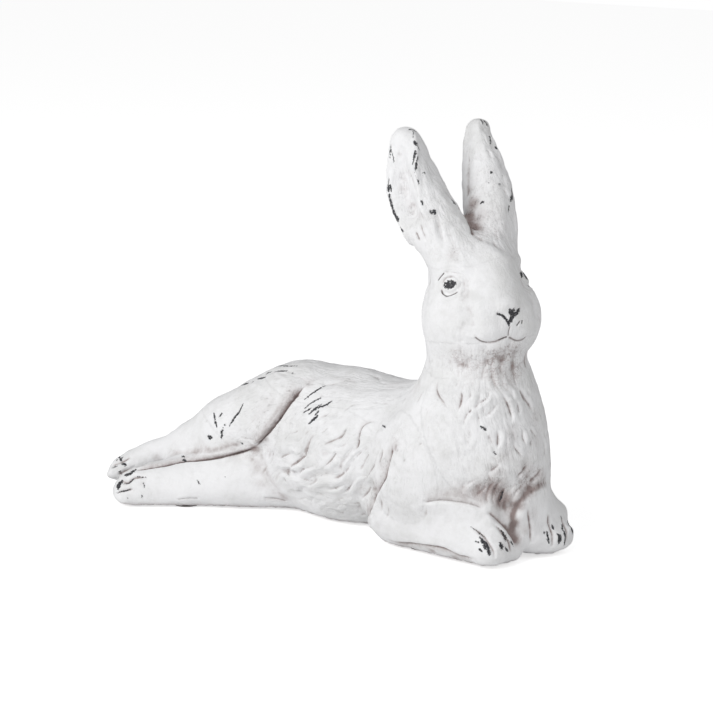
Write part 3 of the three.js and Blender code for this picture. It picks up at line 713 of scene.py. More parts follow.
lines = {
    "upperLid": [(437.5, 281, 440.5, 277, 444.5, 272.6), -0.5, 0.9, 0, 0.95],
    "upperLidFront": [(444.5, 272.6, 450, 272, 457, 274, 462, 279), -0.5, 1.1, 0.2, 0.1],
    "lowerLid": [(440.4, 288.4, 442, 293, 446, 296.2, 449, 295.5, 454, 293.8, 458.5, 291.3), -0.6, 0.9, 0.2, 0.95],
    "innerUpperLid": [(442, 284, 445, 278.6, 451, 276.4, 457, 278.5, 460, 284), -0.4, 0.8, 0.25, 0.2],
    "innerLowerLid": [(443, 288, 446, 292, 451, 292.4, 456, 289.6, 459.6, 285), -0.4, 0.8, 0.2, 0.15],
    "tearLine": [(462, 281, 465, 286, 465, 292), -0.4, 1.1, 0.3, 0],
    "tearFold": [(467, 284, 469, 290, 466, 297, 461, 301), -0.4, 1.1, 0.25, 0],
    "tearFoldBelow": [(464, 290, 463, 295, 458, 298), -0.35, 1.0, 0.25, 0],
    "underLid": [(446, 298, 452, 299, 458, 297), -0.3, 1.0, 0.15, 0],
    "browLine": [(446, 268, 453, 267, 460, 270, 465, 276), -0.35, 1.1, 0.12, 0],
    "cheekFold": [(467, 321, 462, 328, 460, 336, 462, 344), -0.6, 2.0, 0.22, 0],
    "cheekFoldBehind": [(457, 326, 455, 335, 457, 344), -0.35, 1.8, 0.12, 0],
}
# eyes, in pixels about their middles, with painted highlights in the pupil, bright specks of white paint (place, size)
eye = {"middle": (450.3, 284.6), "pupil": (6.4, 4.4), "ball": (9.8, 8.2), "slant": 0.18, "swell": 1.6, "depth": 0.5,
       # grooves round the ball: how far out, how wide, how deep
       "lid": (1.06, 0.16, 0.7), "outerLid": (1.4, 0.1, 0.3), "outermostLid": (1.75, 0.12, 0.2),
       "paintedGlints": [(447, 281.4, 1.0), (450.4, 282.4, 0.6), (446, 285, 0.5)]}
eyeTurns = ((-6, -4), (-6, 4), (0, 5), (6, 4), (6, -4), (0, -5), (0, 0))  # mm to the right and up, for finer faces
seenEye = clay.seen(*eye["middle"])
eyes = [seenEye, clay.nearest(reflected(seenEye))]
rings = [clay.path([middle + lookRight * x * mm + Vector((0, 0, y * mm)) for x, y in eyeTurns]) for middle in eyes]
paths = [drawn(look[0]) for look in lines.values()]
near = paths + [mirrored(path) for path in paths] + rings + [drawn(look[0]) for look in mouth.values()]
clay.refine(near, 3.0)
clay.refine(near, 2.0, 0.45)


# how deep a groove round the eye is at each distance from its middle
def groove(kind, ball):
    place, width, depth = eye[kind]
    return depth * np.exp(-((ball - place) / width) ** 2)


for middle, flipped in zip(eyes, (False, True)):
    near = np.flatnonzero(np.linalg.norm(clay.at - np.array(middle), axis=1) < 16 * mm)
    at = clay.at[near]
    if flipped:
        there, back = np.array(headFrame.inverted()), np.array(headFrame)
        at = at @ there[:3, :3].T + there[:3, 3]
        at[:, 1] *= -1
        at = at @ back[:3, :3].T + back[:3, 3]
    px, py = photoPlace(at)
    slant = py - eye["middle"][1] + eye["slant"] * (px - eye["middle"][0])
    away = np.hypot((px - eye["middle"][0]) / eye["pupil"][0], slant / eye["pupil"][1])
    ball = np.hypot((px - eye["middle"][0] - 0.4) / eye["ball"][0], (slant - 0.4) / eye["ball"][1])
    clay.push(near, eye["swell"] * np.clip(1 - ball ** 2, 0, 1) - eye["depth"] * np.exp(-away ** 4)
              - groove("lid", ball))
    clay.chip[near] = np.minimum(clay.chip[near], (away - 1) * 3.4)
    clay.push(near, -groove("outerLid", ball) - groove("outermostLid", ball))
    # painted highlights: within the pupil these spots keep their white paint
    for x, y, size in eye["paintedGlints"]:
        paintedGlint = (size - np.hypot(px - x, py - y)) * 0.8
        clay.chip[near] = np.maximum(clay.chip[near], np.where(away < 1.1, paintedGlint * 1.6, -9))
clay.refresh()
carveBothSides(lines, 0.12)
for points, *look in mouth.values():
    clay.ridge(drawn(points), *look, taper=0.12)
clay.refresh()
print("face", len(clay.at))

# Toes: furrows between them, with knuckles that swell beside
toes = {
    "nearPaw": [(471, 527, 478, 532, 485, 538, 490, 545, 494, 553, 495, 559), (494, 524, 500, 530, 506, 537, 510, 545,
                511, 553)],
    "farPaw": [(548, 513, 551, 530, 552, 548), (562, 516, 566, 530, 566, 545), (528, 508, 530, 526, 531, 544)],
    "upperPaw": [(108, 479, 122, 473, 136, 466), (111, 466, 119, 463, 131, 457)],
    "lowerPaw": [(116, 493, 124, 491, 133, 489), (120, 480, 128, 483, 134, 478, 146, 477)],
}
knuckles = [(481, 548), (501, 545), (540, 540), (559, 536), (570, 530), (111, 474), (116, 460), (118, 486),
            (121, 498), (128, 474)]
paths = [drawn(points) for furrows in toes.values() for points in furrows]
clay.refine(paths, 5)
for path in paths:
    clay.ridge(path, 0.7, 4.5)
    clay.ridge(path, -2.5, 1.5, 0.4, 0.4, taper=0.25)
for place in knuckles:
    clay.dab(*place, 1.3, 5.5)
clay.refresh()
print("toes", len(clay.at))

# Scribbled fur under the chin and along the throat, and in the hollows: pixel, radius, strength
scrawls = [
    (458, 358, 13, 0.5), (475, 364, 14, 0.5), (495, 360, 16, 0.9), (510, 354, 14, 0.9), (512, 370, 14, 0.8),
    (498, 374, 16, 0.6), (522, 352, 8, 0.5), (474, 378, 11, 0.35), (500, 492, 14, 0.7), (524, 482, 12, 0.8),
    (480, 490, 12, 0.5), (536, 470, 12, 0.4), (258, 440, 10, 0.5), (250, 450, 10, 0.5), (268, 450, 9, 0.4),
    (395, 440, 9, 0.4), (384, 470, 9, 0.4), (434, 252, 10, 0.3), (454, 250, 8, 0.4), (478, 236, 12, 0.4),
    (496, 232, 10, 0.3),
]
for px, py, radius, strength in scrawls:
    clay.dab(px, py, 0, radius, 0, strength)
# short scratches among them: place, reach and bend in pixels, turn in radians, height and width in mm
scratch = {"count": 90, "across": (446, 530), "level": (362, 8), "turn": (-1.3, 1.3), "reach": (4, 9),
           "bend": (-2.5, 2.5), "heights": (-0.5, -0.35, 0.4), "width": 1.2, "wash": 0.2}
scratches = []
for _ in range(scratch["count"]):
    x, y = chance.uniform(*scratch["across"]), chance.gauss(*scratch["level"])
    weight = math.exp(-((y - 361) / 12) ** 2) * (0.45 + 0.55 * math.exp(-((x - 500) / 20) ** 2)
                                                 + 0.3 * math.exp(-((x - 460) / 10) ** 2))
    angle, reach, bend = (chance.uniform(*scratch[key]) for key in ("turn", "reach", "bend"))
    right, down = math.sin(angle) * reach, math.cos(angle) * reach
    path = drawn((x, y, x + right * 0.5 + bend, y + down * 0.5, x + right, y + down))
    scratches.append((path, chance.choice(scratch["heights"]) * weight, weight))
for path, height, weight in scratches:
    clay.ridge(path, height, scratch["width"], scratch["wash"] * weight)
clay.refresh()
print("scribbled fur")

# Hand-worked unevenness, a ragged edge along the floor, and soft limits inside the CAD box, all in mm
surface = {"ragged": 7, "margin": 3, "give": 2.6, "overPad": 0.3}
every = np.arange(len(clay.at))
inMm = (clay.at - np.array(origin)) / mm
low = np.clip(1 - inMm[:, 2] / surface["ragged"], 0, 1)
clay.push(every, 0.3 * waves(inMm / 14, 1) + 0.2 * waves(inMm / 5, 2) + 0.09 * waves(inMm / 2.2, 3)
          + low * (0.8 * waves(inMm / 3, 4) - 0.4))
clay.at[:, 2] = np.maximum(clay.at[:, 2], padBox[1].z + surface["overPad"] * mm)
for axis in range(3):
    centre = (cadBox[0][axis] + cadBox[1][axis]) / 2
    room = (cadBox[1][axis] - cadBox[0][axis]) / 2 - surface["margin"] * mm
    off = clay.at[:, axis] - centre
    over = np.maximum(np.abs(off) - room, 0)
    give = surface["give"] * mm
    clay.at[:, axis] -= np.sign(off) * (over - give * np.tanh(over / give))
# the paint runs darker over the ragged band along the floor
clay.paintWashAndShade(every, low * 0.8)
clay.refresh()
print("surface")

# Stain and painted shade in the deep places, under the chin, beside the limbs and over the far ear: pixel, radius,
# strength
stainsAndShade = [
    (498, 358, 17, 0.36), (512, 350, 12, 0.36), (462, 358, 15, 0.3), (510, 374, 15, 0.3), (482, 364, 16, 0.26),
    (498, 372, 15, 0.3), (528, 490, 9, 0.8), (517, 504, 8, 0.9), (513, 522, 7, 1.0), (514, 540, 7, 1.0),
    (503, 500, 11, 0.95), (494, 488, 14, 0.75), (480, 492, 14, 0.65), (462, 493, 12, 0.5), (440, 494, 10, 0.3),
    (525, 470, 15, 0.4), (541, 476, 9, 0.5), (537, 440, 16, 0.3), (512, 435, 12, 0.3), (505, 458, 14, 0.3),
    (497, 472, 12, 0.35), (533, 515, 9, 0.3), (526, 530, 8, 0.35), (262, 438, 7, 0.7), (255, 448, 7, 0.8),
    (284, 405, 10, 0.2), (308, 383, 8, 0.4), (232, 450, 11, 0.4), (158, 459, 7, 0.4), (176, 452, 10, 0.25),
    (200, 450, 12, 0.25), (258, 466, 10, 0.4), (262, 484, 9, 0.35), (284, 497, 8, 0.5), (368, 512, 9, 0.5),
    (382, 466, 9, 0.35), (395, 448, 8, 0.35), (432, 215, 16, 0.18), (498, 225, 20, 0.25), (452, 256, 7, 0.35),
    (470, 376, 10, 0.2), (418, 384, 13, 0.25), (345, 382, 18, 0.2), (395, 384, 15, 0.25), (410, 548, 6, 0.6),
    (432, 551, 6, 0.6), (456, 558, 6, 0.6), (535, 420, 14, 0.25), (524, 360, 10, 0.3), (142, 483, 6, 0.25),
    (463, 330, 8, 0.2), (466, 296, 7, 0.3),
]
# and stain and painted shade along the creases: path, width, strength
stainedAndShadedCreases = [
    ((256, 439, 268, 425, 282, 405, 295, 388), 4.5, 0.5), ((248, 428, 264, 410, 280, 390), 10, 0.26),
    ((196, 454, 222, 449, 248, 441), 4, 0.42), ((150, 464, 165, 461, 182, 457), 3, 0.3),
    ((548, 483, 537, 487, 528, 492, 520, 501, 513, 513, 511, 528, 514, 546), 3.6, 0.95),
    ((424, 499, 440, 495, 458, 496, 475, 498, 488, 504), 4, 0.45),
    ((388, 446, 387, 462, 383, 476, 376, 490, 370, 504), 3.6, 0.35),
    ((264, 452, 266, 466, 273, 482, 286, 496), 4, 0.35), ((416, 190, 419, 202, 424, 214), 1.6, 0.12),
]
for points, width, strength in stainedAndShadedCreases:
    clay.ridge(drawn(points), 0, width, strength)
for px, py, radius, strength in stainsAndShade:
    clay.dab(px, py, 0, radius, strength)
print("stainsAndShade")

# Paint worn through to the dark casting: paths with their half widths in mm
worn = [
    ((391, 145, 390, 158), 0.6), ((391, 150, 393, 156, 394, 162), 0.45), ((389, 178, 388.6, 184), 0.6),
    ((388, 185, 388.6, 191), 1.5), ((390, 185, 391, 192), 0.7), ((389, 194, 391, 203, 394, 212), 0.95),
    ((393, 210, 396, 217), 1.1), ((396, 216, 398, 221), 1.4), ((401, 228, 403, 232), 0.8),
    ((408, 129.5, 416, 131.5), 0.7), ((414.6, 141, 416, 145), 1.3), ((417, 144, 419.5, 150), 0.8),
    ((415.6, 151, 414, 158, 412.6, 164), 1.2), ((418, 157, 416, 166, 415, 172), 0.75), ((416, 176, 419, 184), 0.5),
    ((413, 131, 413, 138), 0.3), ((421, 200, 423, 205), 0.55), ((431, 211, 431.6, 213), 1.0),
    ((434, 211, 435, 213), 1.2), ((424.4, 173), 0.8), ((452, 200, 456, 205), 0.9),
    ((480.6, 119.5, 482.6, 123.6), 0.9), ((484, 120.6, 487.6, 126.4), 0.9), ((489, 136, 491.4, 142), 0.9),
    ((490, 139, 490.6, 143.6), 0.7), ((495, 147, 497.6, 149), 1.1), ((511.6, 189, 511, 201), 1.2),
    ((510.6, 196, 510.4, 202), 0.6), ((509, 205, 508.5, 212), 0.4), ((491.4, 172.5), 0.95), ((499.5, 184.4), 0.8),
    ((488.6, 183), 0.5), ((480, 204, 484, 201.6), 0.6), ((503, 176), 0.35), ((487, 151), 0.3),
    ((497.4, 313.4, 501, 315, 503.6, 316.4, 507, 320.5, 508.8, 325), 0.95),
    ((519.4, 308, 518, 312, 513, 316, 510, 320, 508.8, 325), 1.5), ((510, 309.6, 511, 312.4, 513, 314.6), 1.9),
    ((511, 318, 509, 323), 1.5), ((514, 313.6, 517, 313.4), 1.7), ((513.6, 308.6, 514, 310.6), 0.7),
    ((521, 272, 521.6, 277), 1.0), ((258, 378.6, 265, 377.4), 1.2), ((242, 385, 248, 383.6), 1.1),
    ((253, 381.8), 0.8), ((273, 368, 285, 366, 297, 366), 0.7), ((275, 372, 287, 371), 0.6), ((293, 373), 0.6),
    ((268, 373), 0.8), ((262, 370, 270, 368), 0.5), ((214, 413, 215, 420, 217, 427), 0.8),
    ((219, 417, 222, 413), 0.7), ((243, 404, 239, 412, 233, 420, 229.4, 426), 0.85), ((223, 428, 221.4, 438), 0.8),
    ((208, 437, 212, 437.6), 1.7), ((242, 443.4), 0.8), ((225, 425), 0.7), ((181.6, 456, 185, 457), 1.1),
    ((183, 460, 186, 461), 1.2), ((305, 399, 313, 393, 325, 386), 0.7), ((305, 408, 313, 402, 321, 398), 0.6),
    ((309, 414, 316, 408.6, 325, 405.6, 332, 401), 1.0), ((312, 411, 322, 404), 0.6),
    ((309, 423.5, 313, 420, 318, 415.6), 1.2), ((315, 415, 319, 411), 0.9), ((303, 413, 311, 408), 0.5),
    ((119.6, 454, 119, 457), 1.1), ((121.6, 458), 1.0), ((117, 460), 0.6), ((112, 468, 117, 466), 0.6),
    ((108.5, 479, 121.6, 473.4), 0.7), ((124.6, 475, 130, 474, 136, 469.6), 1.4), ((118, 488.4, 122, 481), 2.1),
    ((124, 484, 129, 483.6, 134, 479), 0.7), ((136, 477, 146, 477.4), 0.35), ((117, 493, 132, 489), 0.5),
    ((143.6, 483, 144.6, 487), 0.45), ((142, 495, 141.6, 498), 0.5), ((225, 477), 0.5), ((199, 483), 0.6),
    ((197, 480, 200, 484), 0.3), ((128, 498), 0.4), ((481, 426.4, 485.6, 430), 0.8),
    ((493.6, 452, 495.6, 454.4), 0.5), ((382, 425, 385.6, 427.6), 0.6), ((503, 492, 501, 497, 500, 501), 0.8),
    ((471, 527, 480, 533, 486, 538), 0.4), ((480, 537.6, 484, 543, 485, 549), 1.5),
    ((485, 541, 488, 548, 489.6, 556), 1.2), ((475.6, 541.6, 479, 543), 0.6), ((499, 528, 504, 534, 508, 541), 0.45),
    ((503, 535, 505.4, 540.6), 1.4), ((500, 543, 502, 549), 1.5), ((505, 547.6, 508, 551), 1.0),
    ((479, 548, 482, 552), 0.8), ((511, 541, 513, 546), 0.4), ((570, 521, 571.6, 528, 573, 533), 1.9),
    ((560.6, 516, 561.4, 518), 0.7), ((552, 525, 554.6, 530), 0.8), ((557, 534, 560, 536, 559, 543), 1.6),
    ((562, 523.6, 562.6, 531), 0.6), ((563.6, 531, 564.6, 544), 1.3), ((547, 532, 548.6, 543), 0.8),
    ((544, 533), 0.6),
]
clay.refine([drawn(points) for points, _ in worn], 1.8)
for points, width in worn:
    clay.scrape(drawn(points), width)
# and a few where a hand or a shelf would rub the unseen sides: middle, radius, longest mark, count
chance = random.Random(8)
rubbed = {
    "earTips": [(-25, 40, 300), 60, 9, 14],
    "leftHaunch": [(-225, 70, 70), 50, 6, 8],
    "tail": [(-255, 62, 44), 30, 5, 7],
    "backLine": [(-180, 40, 125), 60, 8, 8],
    "leftShoulder": [(-20, 55, 80), 45, 6, 5],
    "nape": [(-50, 5, 200), 45, 5, 5],
}
for middle, radius, length, count in rubbed.values():
    unseen = clay.normal @ np.array(lookBack) < -0.1
    inside = np.flatnonzero((np.linalg.norm(clay.at - np.array(spot(*middle)), axis=1) < radius * mm) & unseen)
    for i in chance.sample(list(inside), min(count, len(inside))):
        start = Vector(clay.at[i])
        lean = Vector((chance.uniform(-1, 1), chance.uniform(-1, 1), chance.uniform(-1, 1))).normalized()
        lean = lean * length * chance.uniform(0.2, 1) * mm
        clay.scrape(clay.path([start, start + lean]), chance.uniform(0.4, 1.1))
print("worn places")

# Wash in the hollows: how far each point lies under the surface around it
flat = clay.smoothed(24)
hollow = np.einsum("ij,ij->i", flat - clay.at, clay.normal) / mm
clay.wash = np.clip(clay.wash + np.clip(hollow * 0.8 - 0.08, 0, 0.6), 0, 1)
# the grain follows the strongest patch of fur, and fades where two are as strong
first, second = np.full(len(clay.at), 0.04), np.zeros(len(clay.at))
inMm = (clay.at - np.array(origin)) / mm
grain = [0.3 * inMm[:, 0] + 0.95 * inMm[:, 2], 0.95 * inMm[:, 0] - 0.3 * inMm[:, 2], inMm[:, 1]]
for look, seed in zip(fur.values(), furSeeds):
    *place, weight = combing(look, clay.at, seed)
    best = weight > first
    second = np.where(best, first, np.maximum(second, weight))
    first = np.where(best, weight, first)
    grain = [np.where(best, new, old) for new, old in zip(place, grain)]
clay.combed = np.clip((first - second) * 5, 0, 1)
clay.grainAlong, clay.grainAcross, clay.grainThrough = grain
clay.refresh()
figure.data.shade_smooth()
print("hollows", len(clay.at), "vertices,", len(figure.data.polygons), "faces")


# Materials

class Wire:
    def __init__(self, tree, socket):
        self.tree, self.socket = tree, socket

    def math(self, operation, *others):
        return self.tree.node("ShaderNodeMath", {"operation": operation}, [self, *others])

    def __add__(self, other):
        return self.math("ADD", other)

    def __sub__(self, other):
        return self.math("SUBTRACT", other)

    def __rsub__(self, other):
        return self.tree.node("ShaderNodeMath", {"operation": "SUBTRACT"}, [other, self])

    def __mul__(self, other):
        return self.math("MULTIPLY", other)

    def ramp(self, low, high):
        return self.tree.node("ShaderNodeMapRange", {"interpolation_type": "SMOOTHSTEP", "clamp": True},
                              [self, low, high, 0, 1])

    # thin lines where the pattern crosses its middle value
    def line(self, width):
        return 1 - (self - 0.5).math("ABSOLUTE").ramp(width * 0.3, width)

    __radd__, __rmul__ = __add__, __mul__


class Finish:
    def __init__(self, owner, shader="Principled BSDF"):
        owner.use_nodes = True
        self.owner = owner
        self.nodes, self.links = owner.node_tree.nodes, owner.node_tree.links
        self.shader = self.nodes[shader]

    def node(self, kind, settings=None, inputs=(), output=0):
        made = self.nodes.new(kind)
        for key, value in (settings or {}).items():
            setattr(made, key, value)
        pairs = inputs.items() if isinstance(inputs, dict) else enumerate(inputs)
        for key, value in pairs:
            self.feed(made.inputs[key], value)
        return Wire(self, made.outputs[output])

    def feed(self, socket, value):
        if isinstance(value, Wire):
            self.links.new(value.socket, socket)
        else:
            socket.default_value = value

    def set(self, **values):
        for key, value in values.items():
            self.feed(self.shader.inputs[key.replace("_", " ")], value)

    def place(self):
        return self.node("ShaderNodeTexCoord", output="Object")

    def painted(self, name):
        return self.node("ShaderNodeAttribute", {"attribute_name": name}, output="Fac")

    def lightPath(self, kind):
        return self.node("ShaderNodeLightPath", output=kind)

    def noise(self, scale, detail, roughness, at):
        return self.node("ShaderNodeTexNoise", {},
                         {"Vector": at, "Scale": scale, "Detail": detail, "Roughness": roughness})

    def mix(self, share, first, second):
        return self.node("ShaderNodeMix", {"data_type": "RGBA"}, {0: share, 6: first, 7: second}, output=2)

    def bump(self, height, strength, distance):
        return self.node("ShaderNodeBump", {}, {"Strength": strength, "Distance": distance, "Height": height})


chalk = {
    "white": (0.86, 0.86, 0.87, 1),
    "dull": (0.77, 0.77, 0.77, 1),
    # brown for stain and for painted shade
    "stainAndShade": (0.32, 0.262, 0.252, 1),
    "scribble": (0.36, 0.29, 0.28, 1),
    "ink": (0.07, 0.056, 0.054, 1),
    "bare": (0.035, 0.035, 0.04, 1),
    "dust": (0.22, 0.22, 0.22, 1),
    "roughness": 0.92,
    "bareRoughness": 0.72,
    "bumpHeight": 0.0009,  # metres
}
# noise scale, detail and roughness. The hairs' patterns run over the combing in mm, the others over the object
grains = {"cloud": (26, 5, 0.6), "speck": (700, 4, 0.65), "ragged": (520, 5, 0.7), "torn": (820, 5, 0.75),
          "patchy": (160, 4, 0.6), "curl": (210, 2, 0.5), "otherCurl": (390, 2, 0.5)}
hairGrains = {"strand": (0.55, 4, 0.6), "hairs": (0.3, 2, 0.5)}


def chalkFinish():
    paint = Finish(bpy.data.materials.new("chalk paint"))
    place = paint.place()
    grain = paint.node("ShaderNodeCombineXYZ", {}, [paint.painted("grainAlong") * 0.12, paint.painted("grainAcross"),
                                                    paint.painted("grainThrough")])
    combed = paint.painted("combed")
    wash = paint.painted("wash")
    cloud, speck, ragged, torn, patchy, curl, otherCurl = (paint.noise(*look, place) for look in grains.values())
    strand, hairs = (paint.noise(*look, grain) for look in hairGrains.values())
    # plain paint, and the brown wash in it, which is stain in the hollows and painted shade along creases and over the
    # far ear
    colour = paint.mix((cloud * 0.7 + patchy * 0.3).ramp(0.42, 0.66), chalk["white"], chalk["dull"])
    stainAndShade = (wash * (0.1 + patchy * 0.8 + ragged * 0.6 + strand * 0.4)).ramp(0.04, 1.0)
    speckle = (speck * 0.5 + strand * 0.5).ramp(0.56, 0.78) * (0.2 + wash * 0.8) * 0.55
    colour = paint.mix(stainAndShade, colour, chalk["stainAndShade"])
    colour = paint.mix(speckle, colour, chalk["stainAndShade"])
    # drawn lines: combed hairs, scribbles and creases
    drawnHairs = hairs.line(0.035) * combed * (0.1 + wash) * patchy.ramp(0.44, 0.6)
    scribble = (curl.line(0.05) + otherCurl.line(0.05) * 0.7) * paint.painted("scrawl") * (0.3 + ragged)
    line = (paint.painted("ink") * (0.45 + ragged * 1.1)).ramp(0.15, 0.85)
    colour = paint.mix(scribble.ramp(0, 1) * 0.65, colour, chalk["scribble"])
    colour = paint.mix(drawnHairs * 0.6, colour, chalk["ink"])
    colour = paint.mix(line * 0.9, colour, chalk["ink"])
    # bare casting with ragged edges
    edge = paint.painted("chip") + (ragged - 0.5) * 2.6 + (torn - 0.5) * 4.6 + (strand - 0.5) * 1.2
    bare = 1 - edge.ramp(-0.12, 0.12)
    colour = paint.mix(bare, colour, paint.mix(speck.ramp(0.5, 0.75), chalk["bare"], chalk["dust"]))
    height = (speck * 0.3 + strand * (0.5 + combed * 0.9) + patchy * 0.6
              - bare * 0.8 - scribble * 0.35 - drawnHairs * 0.3)
    paint.set(Base_Color=colour, Roughness=chalk["roughness"] - bare * (chalk["roughness"] - chalk["bareRoughness"]),
              Specular_IOR_Level=0.3, Normal=paint.bump(height, 0.7, chalk["bumpHeight"]))
    return paint.owner


# Castings: the figure is sawn apart where the pieces are bonded. Each block keeps what lies beyond all of its planes

def plane(point, normal, space=None):
    space = space or Matrix.Translation(origin)
    return space @ (Vector(point) * mm), (space.to_3x3() @ Vector(normal)).normalized()


# the root of an ear, with the ear's length along z
def earSpace(side, root, lean):
    return (headFrame @ Matrix.Translation(Vector((-19, root, 37)) * mm)
            @ Matrix.Rotation(-math.radians(lean), 4, "Y") @ Matrix.Rotation(-side * math.radians(6), 4, "X"))


tailAxis = Vector((-0.84, 0.48, -0.24)).normalized()
tailRoot = (-246, 56, 44)
legParting = ((-200, -14, 58), (-0.42, 0.4, 1))
forearmTop = plane((0, 0, 52), (0, 0, -1))
saws = {
    "tail": [plane(tailRoot, tailAxis), plane((0, 35, 0), (0, 1, 0))],
    "ear_right": [plane((0, 0, 16), (0, 0, 1), earSpace(-1, -21, 32)), plane((0, 0, 0), (0, -1, 0), headFrame)],
    "ear_left": [plane((0, 0, 16), (0, 0, 1), earSpace(1, 17, 29)), plane((0, 0, 0), (0, 1, 0), headFrame)],
    "head": [plane((0, 0, 156), (0, 0, 1))],
    "foreleg_right": [forearmTop, plane((-93, 0, 0), (1, 0, 0)), plane((-60, 5, 0), (-0.107, -0.994, 0))],
    "foreleg_left": [forearmTop, plane((-80, 0, 0), (1, 0, 0)), plane((-48, 7, 0), (0.083, 0.997, 0))],
    "hind_leg_right": [plane((-200, 0, 55), (-1, 0, 1)), plane(*legParting)],
    "hind_leg_left": [plane((-166, 0, 0), (-0.826, 0, -0.563)), plane(legParting[0], [-v for v in legParting[1]])],
}
joint = {"dowelFit": 0.3, "pegRadius": 4.5, "pegLength": 14, "pegDepth": 5, "pegFit": 0.3}  # mm


def sawBlock(planes):
    bpy.ops.object.select_all(action="DESELECT")
    bpy.ops.mesh.primitive_cube_add(size=1, location=spot(-120, 0, 160))
    block = bpy.context.active_object
    for point, normal in planes:
        editAll(block, lambda: bpy.ops.mesh.bisect(plane_co=point, plane_no=normal, use_fill=True, clear_inner=True))
    return block


def boolean(thing, tool, operation):
    addModifier(thing, "BOOLEAN", operation=operation, object=tool, solver="MANIFOLD")


def rod(at, axis, radius, depth):
    bpy.ops.mesh.primitive_cylinder_add(vertices=32, radius=radius * mm, depth=depth * mm, location=at,
                                        rotation=axis.to_track_quat("Z", "Y").to_euler())
    return bpy.context.active_object


# bores for the dowels
bores = []
for name in nodes:
    if "dowel" in name:
        bores.append(mergedCopy(nodes[name], "socket " + name))
        swell(bores[-1], joint["dowelFit"])
bore = joinAll(bores, "sockets")
boolean(figure, bore, "DIFFERENCE")
bpy.data.objects.remove(bore)

castings = {}
for name, planes in saws.items():
    block = sawBlock(planes)
    castings[name] = copyOf(figure, name + "_casting")
    boolean(castings[name], block, "INTERSECT")
    boolean(figure, block, "DIFFERENCE")
    bpy.data.objects.remove(block)
print("sawn apart")
figure.name = "trunk_casting"
castings["trunk"] = figure

# the tail has a peg of its own
pegPlace = spot(*tailRoot) - tailAxis * joint["pegDepth"] * mm
peg = rod(pegPlace, tailAxis, joint["pegRadius"], joint["pegLength"])
pegHole = rod(pegPlace, tailAxis, joint["pegRadius"] + joint["pegFit"], joint["pegLength"] + 2 * joint["pegFit"])
boolean(castings["hind_leg_right"], pegHole, "DIFFERENCE")
boolean(castings["trunk"], pegHole, "DIFFERENCE")
boolean(castings["tail"], peg, "UNION")
bpy.data.objects.remove(peg)
bpy.data.objects.remove(pegHole)

skin = treeOf(clay.at)
chalkPaint = chalkFinish()
for name, piece in castings.items():
    mesh = piece.data
    mesh.materials.clear()
    mesh.materials.append(chalkPaint)
    # sawn faces are flat, the cast skin is smooth
    normals, centres = fetched(mesh.polygons, "normal", 3), fetched(mesh.polygons, "center", 3)
    at = fetched(mesh.vertices, "co", 3)
    sawnFaces, sawnCorners = np.zeros(len(normals), bool), np.zeros(len(at), bool)
    for point, normal in [saw for planes in saws.values() for saw in planes]:
        flat = np.abs(normals @ np.array(normal)) > 0.9999
        sawnFaces |= flat & (np.abs((centres - np.array(point)) @ np.array(normal)) < 0.01 * mm)
        sawnCorners |= np.abs((at - np.array(point)) @ np.array(normal)) < 0.01 * mm
    mesh.polygons.foreach_set("use_smooth", ~sawnFaces)
    # along the joints, paint and shading run on as they did before the saw
    lean = np.zeros((len(at), 3))
    for i in np.flatnonzero(sawnCorners):
        found = skin.find_n(at[i], 3)
        share = np.array([1 / (away + 1e-7) for *_, away in found])
        share, source = share / share.sum(), [index for _, index, _ in found]
        for layer in Clay.painted:
            mesh.attributes[layer].data[i].value = share @ getattr(clay, layer)[source]
        lean[i] = share @ clay.normal[source]
    lean = lean[fetched(mesh.loops, "vertex_index", kind=np.int32)]
    lean[np.repeat(sawnFaces, fetched(mesh.polygons, "loop_total", kind=np.int32))] = 0
    mesh.update()
    mesh.normals_split_custom_set(lean.tolist())
    print(piece.name, sum(len(face.vertices) - 2 for face in mesh.polygons), "triangles")
    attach(piece, "root")
    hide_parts(name)


# Dowels and pads keep their CAD shapes

steelColours = {"clean": (0.56, 0.56, 0.58, 1), "dull": (0.42, 0.41, 0.4, 1)}


def steelFinish():
    steel = Finish(bpy.data.materials.new("drawn steel"))
    place = steel.place()
    lines = steel.noise(900, 3, 0.6, steel.node("ShaderNodeMapping", {}, {"Vector": place, "Scale": (1, 1, 0.05)}))
    dull = steel.noise(90, 3, 0.5, place)
    steel.set(Base_Color=steel.mix(dull.ramp(0.35, 0.7), steelColours["clean"], steelColours["dull"]), Metallic=1.0,
              Roughness=0.34 + dull * 0.2, Normal=steel.bump(lines, 0.2, 0.0001))
    return steel.owner


feltColours = {"dark": (0.1, 0.09, 0.085, 1), "light": (0.24, 0.21, 0.2, 1)}


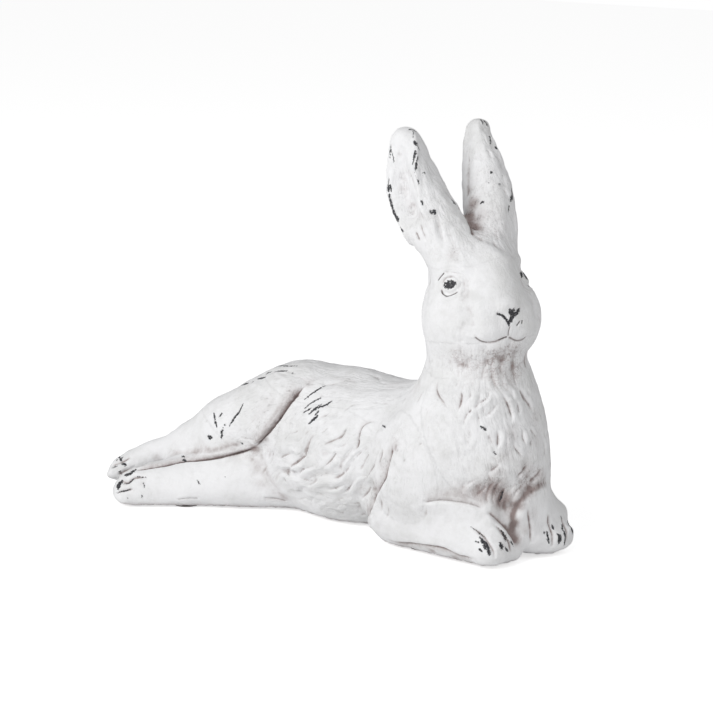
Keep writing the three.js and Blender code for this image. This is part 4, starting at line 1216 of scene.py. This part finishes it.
def feltFinish():
    felt = Finish(bpy.data.materials.new("felt"))
    place = felt.place()
    fibre = felt.noise(1500, 5, 0.7, place)
    tuft = felt.noise(350, 3, 0.6, place)
    felt.set(Base_Color=felt.mix((fibre * 0.6 + tuft * 0.4).ramp(0.35, 0.7), feltColours["dark"], feltColours["light"]),
             Roughness=0.95, Sheen_Weight=0.4, Normal=felt.bump(fibre * 0.6 + tuft, 0.6, 0.0004))
    return felt.owner


finishes = {"dowel": (steelFinish(), "dowel_steel"), "pad": (feltFinish(), "felt")}
for name, node in nodes.items():
    for kind, (material, slot) in finishes.items():
        if kind in name:
            node.data.materials.clear()
            node.data.materials.append(material)
print("dowels and pads")


# Floor and light. Towards the camera floor and world show white, and the floor keeps the shadow

studio = {"world": 0.36, "floorGlow": 0.64, "floorColour": 0.86}
lamps = {  # place from the figure's middle: right, back towards the camera, and up, in metres, with power in watts
    "key": {"right": -1.4, "back": 1.3, "up": 0.82, "size": 1.5, "power": 31},
    "fill": {"right": 1.2, "back": 1.5, "up": 0.4, "size": 1.2, "power": 6.5},
}
white, black = (1, 1, 1, 1), (0, 0, 0, 1)

bpy.ops.mesh.primitive_plane_add(size=8, location=(0, 0, 0))
floor = bpy.context.active_object
floor.name = "floor"
ground = Finish(bpy.data.materials.new("floor"))
level = studio["floorColour"]
ground.set(Base_Color=(level, level, level, 1), Roughness=0.95, Specular_IOR_Level=0.0,
           Emission_Color=ground.mix(ground.lightPath("Is Camera Ray"), black, white),
           Emission_Strength=studio["floorGlow"])
floor.data.materials.append(ground.owner)

world = bpy.data.worlds.new("world")
bpy.context.scene.world = world
sky = Finish(world, "Background")
shown = sky.lightPath("Is Camera Ray").math("MAXIMUM", sky.lightPath("Is Glossy Ray"))
shown = shown.math("MAXIMUM", sky.lightPath("Is Transmission Ray"))
sky.set(Color=white, Strength=studio["world"] + shown * (1 - studio["world"]))

middle = spot(-120, 0, 120)


# a square lamp that is turned to the middle
def softBox(name, right, back, up, size, power):
    light = bpy.data.lights.new(name, "AREA")
    light.size = size
    light.energy = power
    lamp = bpy.data.objects.new(name, light)
    bpy.context.scene.collection.objects.link(lamp)
    lamp.location = middle + lookRight * right + lookBack * back + Vector((0, 0, up))
    lamp.rotation_euler = (middle - lamp.location).to_track_quat("-Z", "Y").to_euler()


for name, look in lamps.items():
    softBox(name, **look)
print("floor and light")

bpy.context.scene.view_settings.view_transform = "Standard"
